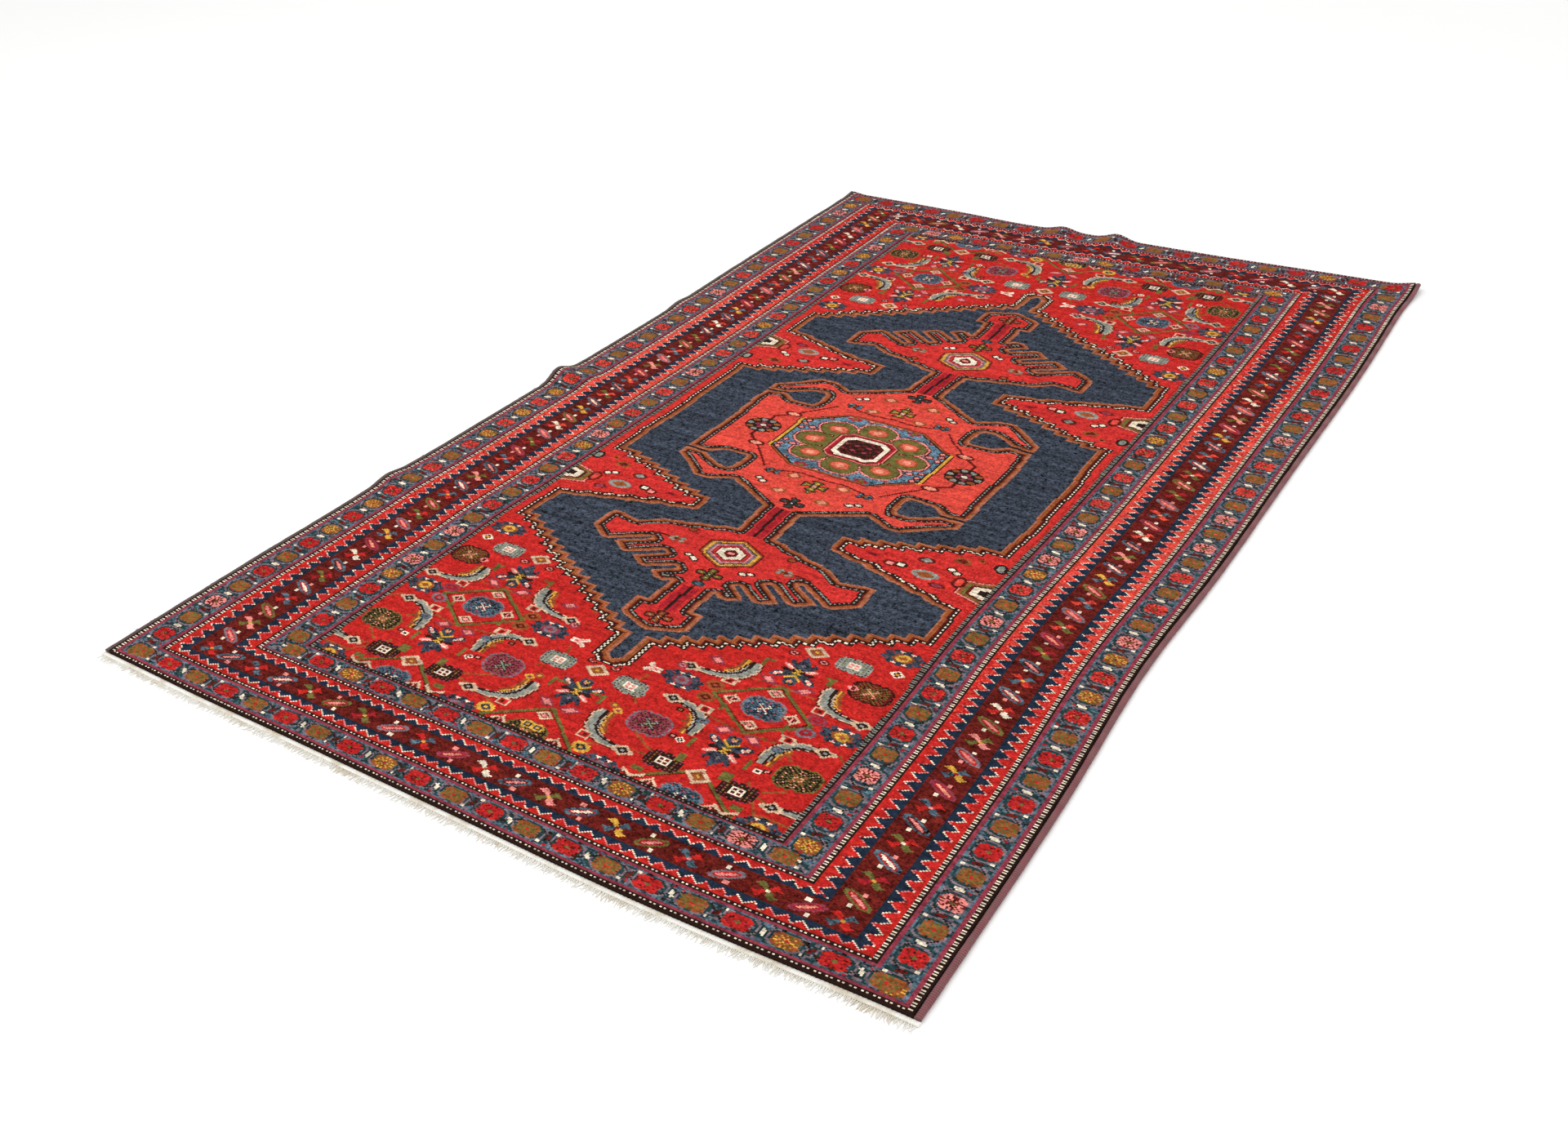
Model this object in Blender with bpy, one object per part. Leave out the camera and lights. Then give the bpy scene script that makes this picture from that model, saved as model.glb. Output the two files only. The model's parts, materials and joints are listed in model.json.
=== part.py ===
"""Hand-knotted village rug, lying on a floor.

Metres, +Z up.  The origin is the middle of the rug's outline, on the floor.
+X runs across the rug and +Y along it, towards the end with the worn fringe.
Every piece is first laid out on a straight rectangle, the nominal plan, and
then placed by the same two functions: `place` bends the plan to the uneven
outline, and `lift` raises it where the rug ripples off the floor.
"""
from collections import namedtuple

import bpy
import numpy as np

# Driving dimensions.
PILE_WIDTH = 1.284          # knotted cloth between the two selvedges
PILE_LENGTH = 2.110         # knotted cloth between the two ends
THICKNESS = 0.0065          # back to pile tips
SELVEDGE_WIDTH = 0.0095     # overcast cord along each long side
SELVEDGE_HEIGHT = 0.0065
WEB_LENGTH = 0.0070         # flat-woven cotton beyond the pile, near end
WEB_THICKNESS = 0.0022
FRINGE_THICKNESS = 0.0016
NEAR_FRINGE_LENGTH = 0.0100
FAR_FRINGE_LENGTH = 0.0070
GAP = 0.0003                # between neighbouring pieces
END_WIDTH = PILE_WIDTH + 2 * (GAP + SELVEDGE_WIDTH)   # the web and fringes run full width
END_REACH = 0.16            # how far in from an end its unevenness dies out
FLAT_LIFT = 0.0006          # rises smaller than this lie flat
PLAN_MIDDLE = (-0.0006, 0.0126, 0)  # the plan's middle, seen from the outline's middle

# A bow moves one edge of the plan outwards (+X or +Y) or inwards.
Bow = namedtuple("Bow", "edge centre offset half_length")
BOWS = [
    Bow("left", 0.22, 0.0085, 0.30),
    Bow("left", -0.50, -0.0040, 0.07),
    Bow("left", -0.85, -0.0060, 0.32),
    Bow("left", 1.05, -0.0030, 0.22),
    Bow("right", 0.60, 0.0070, 0.32),
    Bow("right", -0.40, -0.0120, 0.21),
    Bow("right", 1.03, 0.0060, 0.07),
    Bow("far", 0.00, -0.0190, 0.60),
    Bow("far", -0.21, -0.0060, 0.09),
    Bow("far", 0.27, -0.0025, 0.12),
    Bow("near", 0.00, -0.0060, 0.50),
    Bow("near", 0.28, -0.0045, 0.20),
    Bow("near", -0.45, -0.0018, 0.12),
    Bow("near", 0.64, 0.0045, 0.14),
]

# A ripple is a soft hump where the rug stands off the floor.
Ripple = namedtuple("Ripple", "x y rise half_x half_y")
RIPPLES = [
    Ripple(-0.655, -0.060, 0.0165, 0.085, 0.030),
    Ripple(-0.655, -0.500, 0.0060, 0.060, 0.028),
    Ripple(-0.655, 0.318, 0.0045, 0.055, 0.030),
    Ripple(-0.098, 1.060, 0.0095, 0.030, 0.110),
    Ripple(0.027, 1.060, 0.0125, 0.030, 0.130),
    Ripple(0.655, 1.050, 0.0085, 0.034, 0.055),
    Ripple(-0.655, 1.060, 0.0050, 0.030, 0.035),
]

# Stretches of the plan that need closer grid lines than the even spacing.
EVEN_LINES_ACROSS = 17
EVEN_LINES_ALONG = 15
CLOSE_ACROSS = [(-0.642, -0.54, 5), (-0.33, 0.12, 20), (0.12, 0.42, 7), (0.59, 0.642, 4)]
CLOSE_ALONG = [(-0.14, 0.02, 9), (-0.56, -0.44, 5), (0.26, 0.38, 4), (0.86, 1.055, 6)]

TUFTS = 44                  # teeth of each fringe comb
TUFT_FILL = 0.72            # part of a tuft's pitch that its tooth takes up
ROOT_PART = 0.35            # part of the fringe length that stays joined
LONG_PART = 0.85            # shortest tooth, as a part of the fringe length


def bell(distance, half_length):
    """A smooth hump: 1 in the middle, fading over half_length."""
    return np.exp(-(distance / half_length) ** 2)


def edge_shift(edge, along):
    """How far an edge of the plan is moved at the places `along` it."""
    rows = [bow for bow in BOWS if bow.edge == edge]
    return sum(row.offset * bell(along - row.centre, row.half_length) for row in rows)


def place(x, y):
    """Bend plan points to the outline: the sides share the sideways shift in
    proportion to distance, and an end's shift dies out within END_REACH."""
    right_share = np.clip(0.5 + x / PILE_WIDTH, 0, 1)
    near_share = bell(np.maximum(y + PILE_LENGTH / 2, 0), END_REACH)
    far_share = bell(np.maximum(PILE_LENGTH / 2 - y, 0), END_REACH)
    bent_x = x + edge_shift("left", y) * (1 - right_share) + edge_shift("right", y) * right_share
    bent_y = y + edge_shift("near", x) * near_share + edge_shift("far", x) * far_share
    return bent_x, bent_y


def lift(x, y):
    """Height of the rug's back above the floor: the ripples added up."""
    total = sum(row.rise * bell(x - row.x, row.half_x) * bell(y - row.y, row.half_y)
                for row in RIPPLES)
    return np.maximum(total - FLAT_LIFT, 0)


def cloth_material(name, colour, roughness):
    """A plain woollen or cotton finish."""
    material = bpy.data.materials.new(name)
    material.use_nodes = True
    surface = material.node_tree.nodes["Principled BSDF"]
    surface.inputs["Base Color"].default_value = (*colour, 1)
    surface.inputs["Roughness"].default_value = roughness
    surface.inputs["Metallic"].default_value = 0
    return material


def add_piece(name, points, faces, material):
    """Make one named object from its corner points, given from the plan's
    middle, and its faces."""
    mesh = bpy.data.meshes.new(name)
    mesh.from_pydata((points.reshape(-1, 3) + PLAN_MIDDLE).tolist(), [], faces)
    mesh.materials.append(material)
    mesh.validate()
    piece = bpy.data.objects.new(name, mesh)
    bpy.context.scene.collection.objects.link(piece)
    return piece


def sheet(name, x, y, thickness, material):
    """A closed sheet over the plan grid (x, y): its back follows `lift`, its
    top is `thickness` higher, and a wall joins the two round the rim."""
    rows, columns = x.shape
    bent_x, bent_y = place(x, y)
    back = lift(bent_x, bent_y)
    layers = [np.stack([bent_x, bent_y, back + height], axis=-1) for height in (0, thickness)]
    points = np.stack(layers)
    index = np.arange(points.size // 3).reshape(2, rows, columns)
    under, over = index
    faces = []
    for i in range(rows - 1):
        for j in range(columns - 1):
            corners = (i, j), (i, j + 1), (i + 1, j + 1), (i + 1, j)
            faces.append([int(over[corner]) for corner in corners])
            faces.append([int(under[corner]) for corner in reversed(corners)])
    rim = [(0, j) for j in range(columns - 1)]
    rim += [(i, columns - 1) for i in range(rows - 1)]
    rim += [(rows - 1, j) for j in range(columns - 1, 0, -1)]
    rim += [(i, 0) for i in range(rows - 1, 0, -1)]
    for here, after in zip(rim, rim[1:] + rim[:1]):
        wall = under[here], under[after], over[after], over[here]
        faces.append([int(corner) for corner in wall])
    return add_piece(name, points, faces, material)


def grid_lines(half_size, even_lines, close_stretches):
    """Sorted line positions: evenly spaced ones and the closer stretches."""
    lines = [np.linspace(-half_size, half_size, even_lines)]
    lines += [np.linspace(*stretch) for stretch in close_stretches]
    joined = np.unique(np.round(np.clip(np.concatenate(lines), -half_size, half_size), 4))
    wide_enough = np.concatenate([[True], np.diff(joined) > 0.004])
    joined = joined[wide_enough]
    joined[-1] = half_size
    return joined


ACROSS = grid_lines(PILE_WIDTH / 2, EVEN_LINES_ACROSS, CLOSE_ACROSS)
ALONG = grid_lines(PILE_LENGTH / 2, EVEN_LINES_ALONG, CLOSE_ALONG)


def knotted_pile():
    """The rug's body: wool knots on a cotton ground, one thick sheet."""
    x, y = np.meshgrid(ACROSS, ALONG)
    wool = cloth_material("wool_pile", (0.42, 0.06, 0.05), 0.9)
    sheet("knotted_pile", x, y, THICKNESS, wool)


def selvedge(name, side):
    """An overcast cord along one long side (-1 left, +1 right): a rounded
    section with a flat base, carried along the edge of the pile."""
    turn = np.linspace(0, 2 * np.pi, 9)[:-1] + np.pi / 8
    across = np.cos(turn) / np.cos(np.pi / 8) * SELVEDGE_WIDTH / 2
    up = (np.sin(turn) / np.cos(np.pi / 8) + 1) * SELVEDGE_HEIGHT / 2
    middle = side * (PILE_WIDTH / 2 + GAP + SELVEDGE_WIDTH / 2)
    x = middle + np.broadcast_to(across, (len(ALONG), len(turn)))
    y = np.broadcast_to(ALONG[:, None], x.shape)
    edge_x, edge_y = place(np.full_like(ALONG, middle), ALONG)
    bent_x = x - middle + edge_x[:, None]
    bent_y = np.broadcast_to(edge_y[:, None], y.shape)
    base = lift(edge_x, edge_y)[:, None]
    points = np.stack([bent_x, bent_y, base + up], axis=-1)
    index = np.arange(x.size).reshape(x.shape)
    faces = []
    for i in range(len(ALONG) - 1):
        for j in range(len(turn)):
            after = (j + 1) % len(turn)
            wall = index[i, j], index[i, after], index[i + 1, after], index[i + 1, j]
            faces.append([int(corner) for corner in reversed(wall)])
    faces.append(index[0].tolist())
    faces.append(index[-1][::-1].tolist())
    wool = cloth_material(name + "_wool", (0.12, 0.07, 0.07), 0.9)
    add_piece(name, points, faces, wool)


def web():
    """The flat-woven cotton strip that ends the near side of the pile."""
    start = -PILE_LENGTH / 2 - GAP
    columns = np.concatenate([[-END_WIDTH / 2], ACROSS, [END_WIDTH / 2]])
    x, y = np.meshgrid(columns, [start - WEB_LENGTH, start])
    cotton = cloth_material("cotton_web", (0.74, 0.68, 0.58), 0.9)
    sheet("cotton_web", x, y, WEB_THICKNESS, cotton)


def fringe(name, root, side, length):
    """A comb of short warp tufts past one end (side -1 near, +1 far).  Each
    tooth is a level tip between two root points, of slightly uneven length."""
    pitch = END_WIDTH / TUFTS
    starts = -END_WIDTH / 2 + pitch * np.arange(TUFTS)
    steps = np.array([0, (1 - TUFT_FILL) / 2, (1 + TUFT_FILL) / 2]) * pitch
    columns = np.append((starts[:, None] + steps).ravel(), END_WIDTH / 2)
    unevenness = (1 + np.sin(np.arange(TUFTS) * 2.4)) / 2
    tips = length * (LONG_PART + (1 - LONG_PART) * unevenness)
    reach = np.stack([np.full(TUFTS, length * ROOT_PART), tips, tips], axis=1).ravel()
    reach = np.append(reach, length * ROOT_PART)
    lines = [np.full_like(columns, root), root + side * reach]
    y = np.stack(lines if side > 0 else lines[::-1])
    x = np.broadcast_to(columns, y.shape)
    cotton = cloth_material(name + "_cotton", (0.76, 0.70, 0.60), 0.9)
    sheet(name, x, y, FRINGE_THICKNESS, cotton)


def main():
    for old in list(bpy.data.objects):
        bpy.data.objects.remove(old)
    knotted_pile()
    selvedge("selvedge_left", -1)
    selvedge("selvedge_right", 1)
    web()
    near_root = -PILE_LENGTH / 2 - WEB_LENGTH - 2 * GAP
    fringe("fringe_near", near_root, -1, NEAR_FRINGE_LENGTH)
    fringe("fringe_far", PILE_LENGTH / 2 + GAP, 1, FAR_FRINGE_LENGTH)


main()
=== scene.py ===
"""Hand-knotted Persian rug: knotted pile, overcast selvedges, cotton web and fringes, and a plain stage."""

import json

import bpy
import numpy as np
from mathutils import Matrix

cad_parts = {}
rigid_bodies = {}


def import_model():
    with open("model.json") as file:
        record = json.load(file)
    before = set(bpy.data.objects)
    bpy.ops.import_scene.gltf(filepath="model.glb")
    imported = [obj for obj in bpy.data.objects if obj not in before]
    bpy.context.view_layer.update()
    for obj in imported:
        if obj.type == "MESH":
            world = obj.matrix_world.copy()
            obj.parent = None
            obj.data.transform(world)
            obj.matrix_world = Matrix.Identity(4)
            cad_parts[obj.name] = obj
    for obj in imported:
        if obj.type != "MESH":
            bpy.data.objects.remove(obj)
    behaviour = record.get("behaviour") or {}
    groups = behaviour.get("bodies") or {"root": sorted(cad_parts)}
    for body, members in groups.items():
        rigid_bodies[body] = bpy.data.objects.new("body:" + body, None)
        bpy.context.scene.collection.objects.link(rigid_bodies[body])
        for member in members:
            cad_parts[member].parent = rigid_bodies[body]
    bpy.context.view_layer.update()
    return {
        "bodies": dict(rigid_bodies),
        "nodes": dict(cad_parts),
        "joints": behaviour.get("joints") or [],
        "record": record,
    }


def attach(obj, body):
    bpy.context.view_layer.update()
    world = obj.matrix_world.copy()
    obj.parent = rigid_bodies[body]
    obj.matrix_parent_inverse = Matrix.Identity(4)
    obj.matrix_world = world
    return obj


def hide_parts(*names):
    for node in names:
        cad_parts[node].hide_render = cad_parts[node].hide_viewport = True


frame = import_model()

bl_info = {
    "name": "Hand-Knotted Persian Rug",
    "version": (1, 0, 0),
    "blender": (4, 5, 0),
    "location": "3D View > Sidebar > Rug",
    "description": "Builds a hand-knotted wool rug with its selvedges, web and fringes",
    "category": "Add Mesh",
}

# ---------------------------------------------------------------------------
# The knot chart: which yarn each knot is tied in
# ---------------------------------------------------------------------------

COLUMNS = 460
ROWS = 1056

YARNS = (
    ("r", "madder red"),
    ("n", "indigo navy"),
    ("k", "black brown"),
    ("i", "ivory"),
    ("m", "maroon"),
    ("o", "rust"),
    ("g", "olive"),
    ("y", "gold"),
    ("p", "pink"),
    ("b", "blue grey"),
    ("l", "light blue"),
    ("v", "mauve"),
    ("t", "dark teal"),
    ("e", "grey mauve"),
    ("c", "crimson"),
    ("d", "midnight blue"),
    ("s", "salmon"),
    ("w", "silver grey"),
    ("a", "coral"),
    ("h", "scarlet"),
    ("j", "rose madder"),
    ("x", "tan"),
    ("u", "cream"),
)
NUMBER = {code: number for number, (code, name) in enumerate(YARNS)}
# The number that a motif has where it leaves the ground's knot alone.
BARE = 255

# Band edges in knots from the pile's edge: first across the sides, then across the ends.
SIDE_BANDS = (0, 3, 5, 6, 20, 21, 23, 26, 36, 55, 65, 68, 70, 71, 85, 86, 88, 91)
END_BANDS = (0, 3, 5, 6, 19, 20, 22, 25, 33, 50, 58, 61, 62, 63, 76, 77, 78, 81)
BAND_YARNS = "kvbtbvkrmnkvbtbvk"
# Dotted guards: the first knot of the dots on the sides and on the ends, and their yarn.
DOTTED = ((1, 1, "i"), (24, 23, "i"), (66, 59, "i"), (89, 79, "w"))
DOTS_TO_A_KNOT = 0.4
# Rows of teeth: on the sides and then on the ends, the band's two edges and the depths between which
# the teeth's line runs to and fro. Last, whether the red lies on the field's side of the line.
TEETH = (
    (26, 36, 28.0, 34.4, 25, 33, 26.2, 30.6, False),
    (55, 65, 56.4, 62.8, 50, 58, 51.6, 56.0, True),
)
TOOTH_ON_SIDES = 9.6
TOOTH_ON_ENDS = 7.44
# Minor borders: on the sides and on the ends, the band's two edges, how far its last rosette lies from
# the middle, and how many steps there are from the first rosette to the last.
MINOR_BORDERS = (
    ((6, 20, 516, 43), (6, 19, 214, 20)),
    ((71, 85, 445, 37), (63, 76, 146, 14)),
)
# The main border's middle, in knots from the rug's two axes, and its flowers' distance apart.
MAIN_SIDE = 184.5
MAIN_END = 487
SIDE_FLOWERS = 27
END_PITCH = 37.6

# Charts, a letter for each knot. Where the drawing calls fold them, only a half or a quarter is given.

STAR = """
..........nn
.....nn..nnn
....nnniiinn
....nnnninnn
...nnnnn.nnn
.nnn.nnnncdd
nnnnnnnccddd
nnnnnnccdddc
.nnnnnccddcc
..nnnnccdccc
"""
ROSETTE = """
......ee..ee
....eeveeevv
...evvkvvkvv
..evpvvkvvpk
.eevvkvvkvvv
.evkvvpvvkpv
eevvkvvkvvvk
evvvvkvkkivk
.evkvvvvikkv
eevvpkvkkipk
evvkvvkvvpik
evvvkvvkkkki
"""
PALMETTE = """
..........nnn
.........nnnn
.........nnyn
.........nnyp
.........nnpy
.nnnn....nnnp
nnipnn..ynnnn
nnpinnn.yynnn
.nippnnn.yynn
.nnppinnngyyn
..nniinnnngyy
...nnnnnnnngy
......nnnnngg
.....knnnnyyg
....kkkkknkyy
...kkkkkkkkky
....kkk..kkyy
......pppkyyk
.....pppipkky
....ppii.nnnn
...ppip.nnnnn
...ppp.nnnnnn
......nnnnnne
......nnnnnee
.....nnnnnnne
.....nnn.nnnn
.....nn..nnnn
......n...nnn
..........nnn
..........nnn
...........nn
...........nn
............n
............n
"""
FLOWERHEAD = """
....vv..kk
..kvkkkvkk
.kkkkvkkkg
.vkokkkkkk
kkkkkokkvk
kvkgkkiiii
kkkokkimmi
kkkkkkimmi
kvkokkiiii
"""
BORDER_ROSETTE = """
..ff.f
.fffhf
ffffhf
ffhffh
fffhfh
hhffhz
fffhzz
"""
CROSS_FLOWER = """
..11.....2...
.1111...222..
111111..2222.
..1111.222222
....111222...
.....1zz2....
....22zz11...
...222.111...
222222.1111..
.2222..111111
..222...1111.
...2.....11..
"""
ARROW_FLOWER = """
..i........
.iii.......
.iipii.....
..iippiiiii
...iippppii
....iipmpi.
...iippppii
..iippiiiii
.iipii.....
.iii.......
..i........
"""
LEAF_CROSS = """
......kkk
.....kmgg
.....kmgg
.....kmgy
......kgg
.kkkk.kkg
kmmmmkkgg
kggggkkgk
kggyggkki
"""
TREFOIL_CROSS = """
.....kkkkkkk.....
....kkgggggkk....
....kgggyggggk...
.....kgyyygk.....
kk....kgggk....kk
kgkk..kgygk..kkgk
kgggkkkgggkkkgggk
kgygggkpppkgggygk
kggyygkpipkgyyggk
kgygggkpppkgggygk
kgggkkkgggkkkgggk
kgkk..kgygk..kkgk
kk....kgggk....kk
.....kgyyygk.....
....kgggyggggk...
....kkgggggkk....
.....kkkkkkk.....
......kgggk......
.......kyk.......
......kgggk......
.......kgk.......
"""
BLOSSOM = """
..kk...kk....
.kbbk.kbbk...
kblbbkkbbbk..
.kbbkkookbbk.
..kkooookkk..
.kbbkkookbbk.
kbbbkkkbblbk.
.kbbk.kbbk...
..kk...kk....
"""


def drawn(rows, halves="", **swaps):
    """A charted motif as an array of yarn numbers, each letter one knot.

    A motif of which only a part is charted is reflected about its last column, "across", or its
    last row, "along". The swaps give other yarns to some letters.
    """
    letters = np.array([list(row) for row in rows.split()])
    for old, new in swaps.items():
        letters = np.where(letters == old.strip("_"), new.upper(), letters)
    letters = np.char.lower(letters)
    knots = np.full(letters.shape, BARE, np.uint8)
    for code, number in NUMBER.items():
        knots[letters == code] = number
    if "across" in halves:
        knots = np.hstack((knots, knots[:, -2::-1]))
    if "along" in halves:
        knots = np.vstack((knots, knots[-2::-1]))
    return knots


def stamp(chart, knots, across, along, room=None):
    """Ties a motif with its middle that many knots right of the axis and rows towards the near end."""
    height, width = knots.shape
    left = int(round(COLUMNS / 2 + across - width / 2))
    top = int(round(ROWS / 2 + along - height / 2))
    x0, x1 = max(left, 0), min(left + width, COLUMNS)
    y0, y1 = max(top, 0), min(top + height, ROWS)
    if x0 >= x1 or y0 >= y1:
        return
    knots = knots[y0 - top : y1 - top, x0 - left : x1 - left]
    tied = knots != BARE
    if room is not None:
        tied = tied & room[y0:y1, x0:x1]
    chart[y0:y1, x0:x1][tied] = knots[tied]


def stamp_four(chart, knots, across, along, room=None):
    """Ties a motif in all four quarters, reflected so that each faces its own corner."""
    for flip_y in (1, -1):
        for flip_x in (1, -1):
            if (across == 0 and flip_x < 0) or (along == 0 and flip_y < 0):
                continue
            stamp(chart, knots[::flip_y, ::flip_x], across * flip_x, along * flip_y, room)


def stepped(start, across, along, count):
    """Corners of a stair that goes over and then along, the same distance each time."""
    step = np.arange(1, count + 1)
    corners = np.empty((2 * count, 2))
    corners[0::2, 0] = start[0] + across * step
    corners[1::2, 0] = start[0] + across * step
    corners[0::2, 1] = start[1] + along * (step - 1)
    corners[1::2, 1] = start[1] + along * step
    return [tuple(corner) for corner in corners]


def inside(corners, across, along):
    """True where a point lies in the polygon: a line from it crosses the outline an odd number of times."""
    odd = np.zeros(across.shape, bool)
    for (x0, y0), (x1, y1) in zip(corners, corners[1:] + corners[:1]):
        if y0 == y1:
            continue
        level = (along >= min(y0, y1)) & (along < max(y0, y1))
        odd ^= level & (across < x0 + (along - y0) * (x1 - x0) / (y1 - y0))
    return odd


def knots_from(corners, across, along, square):
    """How many knots each point lies from an open outline, whichever side it is on.

    The nearest point of each straight piece is found, and the distance to it is the longer of its
    two parts if square, so that bands keep sharp corners round a stair, or else their hypotenuse.
    """
    nearest = np.full(across.shape, 1e9)
    for (x0, y0), (x1, y1) in zip(corners[:-1], corners[1:]):
        dx, dy = x1 - x0, y1 - y0
        share = ((across - x0) * dx + (along - y0) * dy) / (dx * dx + dy * dy)
        share = np.clip(share, 0, 1)
        off_x = np.abs(across - x0 - share * dx)
        off_y = np.abs(along - y0 - share * dy)
        away = np.maximum(off_x, off_y) if square else np.hypot(off_x, off_y)
        nearest = np.minimum(nearest, away)
    return nearest


# Outlines in one quarter, in knots from the rug's two axes: the navy hexagon with its arrowhead and
# stepped flanks, and the red medallion with its hooks and one pendant.
NAVY_EDGE = (
    [(127, 0), (127, 93)]
    + stepped((124, 93), -10, 5.4, 7)
    + [(44, 131), (44, 153), (53, 155), (60, 158), (68, 158), (72, 162), (83, 165)]
    + [(88, 169), (95, 171), (101, 175), (109, 177), (114, 181), (121, 182), (127, 184)]
    + [(127, 222)]
    + stepped((127, 222), -8.2, 6.9, 15)
    + [(4.5, 326), (4.5, 348), (0, 354)]
)
RED_EDGE = [
    (95, 0), (95, 63), (80, 64), (73, 57), (69, 55), (56, 55), (55, 60), (56, 76),
    (58, 80), (65, 79), (72, 74), (80, 67), (95, 66), (95, 78), (88, 84), (70, 104),
    (60, 104), (53, 100), (46, 95), (13, 121), (13, 162), (20, 163), (27, 168), (34, 169),
    (40, 173), (48, 175), (55, 177), (62, 183), (67, 188), (75, 186), (80, 184), (87, 184),
    (87, 211), (74, 223), (70, 223), (50, 206), (48, 208), (66, 223), (57, 233), (52, 233),
    (35, 218), (33, 220), (48, 235), (40, 244), (35, 244), (21, 232), (19, 234), (31, 246),
    (24, 253), (18, 253), (14, 249), (14, 278), (21, 278), (21, 300), (15, 305), (0, 313),
]


def bands(chart, where, away, widths):
    """Ties bands of so many knots each, in turn outwards from an edge, where they are wanted.

    Two yarns in one band are tied as beads, two knots square.
    """
    inner = 0
    for width, code in widths:
        band = where & (away >= inner) & (away < inner + width)
        if len(code) == 2:
            even = np.add.outer(np.arange(chart.shape[0]) // 2, np.arange(chart.shape[1]) // 2) % 2
            chart[band] = np.where(even, NUMBER[code[0]], NUMBER[code[1]])[band]
        else:
            chart[band] = NUMBER[code]
        inner += width


def between(value, low, high):
    """True from the low number up to, but not at, the high one."""
    return (value >= low) & (value < high)


def ring(across, along, x, y, half_x, half_y):
    """Distance from a diamond's middle, 1 on its outline: each offset over its half width, added."""
    return np.abs(across - x) / half_x + np.abs(along - y) / half_y


def oval(across, along, x, y, half_x, half_y):
    """Distance from an oval's middle, 1 on its outline: the root of the two squared shares."""
    return np.hypot((across - x) / half_x, (along - y) / half_y)


def nested(knots, shape, levels, where=True):
    """Ties one yarn inside another, each where the shape's distance is under its level."""
    for level, code in levels:
        knots[where & (shape < level)] = NUMBER[code]


def off_axes():
    """How far each knot lies from the rug's long axis and from its short one."""
    return np.meshgrid(
        np.abs(np.arange(COLUMNS) + 0.5 - COLUMNS / 2), np.abs(np.arange(ROWS) + 0.5 - ROWS / 2)
    )


def field_quarter():
    """The field's figures in one quarter of the rug, which is charted once and reflected.

    Each figure is a polygon or a level of a distance, and its outlines are bands of even width
    along its edge.
    """
    across, along = np.meshgrid(np.arange(COLUMNS // 2) + 0.5, np.arange(ROWS // 2) + 0.5)
    knots = np.full(across.shape, NUMBER["r"], np.uint8)
    navy = inside(NAVY_EDGE + [(0, 0)], across, along)
    from_navy = knots_from(NAVY_EDGE, across, along, True)
    corner = ~navy & (from_navy > 8)
    herati_lines(knots, corner, across, along)
    knots[navy] = NUMBER["n"]
    outline = ((1.5, "x"), (1.7, "o"), (0.7, "m"), (1.0, "k"), (1.3, "ik"), (1.0, "k"))
    bands(knots, ~navy, from_navy, outline)
    red = inside(RED_EDGE + [(0, 0)], across, along)
    knots[red] = np.where(along < 121, NUMBER["h"], NUMBER["j"])[red]
    from_red = knots_from(RED_EDGE, across, along, False)
    outline = ((1.6, "x"), (1.8, "o"), (0.7, "m"), (1.0, "k"), (1.3, "wk"), (1.0, "k"))
    bands(knots, red, from_red, outline)
    slit = between(along, 64, 66) & between(across, 79, 95)
    knots[slit] = NUMBER["k"]
    stem = red & (across < 5) & (between(along, 118, 166) | between(along, 250, 284))
    knots[stem] = NUMBER["c"]
    knots[stem & (across < 1)] = NUMBER["k"]
    octagon(knots, across, along)
    pendant_flower(knots, across, along)
    eye(knots, across, along)
    return knots, corner


def herati_lines(knots, corner, across, along):
    """The corners' trellis of olive lines, and the curved leaves in its cells."""
    points = ((0, 18.5, 5.5, 5), (0, -18.5, 5.5, 5), (16.5, 0, 4.6, 5.6), (-16.5, 0, 4.6, 5.6))
    for x, y in ((87, 348), (87, 446), (0, 446)):
        line = ring(across, along, x, y, 27, 27)
        knots[corner & (np.abs(line - 0.93) < 0.034)] = NUMBER["m"]
        knots[corner & (np.abs(line - 1) < 0.046)] = NUMBER["g"]
        for dx, dy, half_x, half_y in points:
            small = ring(across, along, x + dx, y + dy, half_x, half_y)
            nested(knots, small, ((1, "u"), (0.62, "m"), (0.3, "p")), corner)
    for tip_x, tip_y, end_x, end_y in (
        (38, 331, 66, 308), (134, 331, 108, 308), (45, 367, 66, 392),
        (127, 367, 105, 392), (47, 428, 21, 404), (126, 428, 151, 404),
    ):
        over = (across - tip_x) / (end_x - tip_x)
        down = (along - end_y) / (tip_y - end_y)
        here = corner & (over > -0.05) & (down > -0.12)
        bend = (np.clip(over, 0, 9) ** 2.7 + np.clip(down, 0, 9) ** 2.7) ** (1 / 2.7)
        taper = np.clip((down + 0.16) / 0.3, 0, 1) ** 0.5
        slim = (0.066 + 0.05 * np.clip(over, 0, 1) + 0.012 * np.cos((over - down) * 26)) * taper
        knots[here & between(bend, 0.72, 0.9) & (over > 0.45) & (down < 0.62)] = NUMBER["o"]
        knots[here & between(bend, 0.80, 0.85) & (over > 0.4) & (down < 0.7)] = NUMBER["y"]
        knots[here & (np.abs(bend - 1) < slim + 0.058)] = NUMBER["m"]
        knots[here & (np.abs(bend - 1) < slim + 0.028)] = NUMBER["u"]
        knots[here & (np.abs(bend - 0.985) < slim)] = NUMBER["w"]
        knots[here & (np.abs(bend - 0.93) < 0.028)] = NUMBER["k"]
        tip = ring(across, along, tip_x, tip_y, 6.5, 5)
        nested(knots, tip, ((1, "u"), (0.62, "k"), (0.3, "w")), corner)
        elbow_x = tip_x + 0.86 * (end_x - tip_x)
        elbow_y = end_y + 1.02 * (tip_y - end_y)
        box = np.maximum(np.abs(across - elbow_x) / 3.6, np.abs(along - elbow_y) / 3.8)
        nested(knots, box, ((1, "u"), (0.62, "r"), (0.3, "m")), corner)


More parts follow.
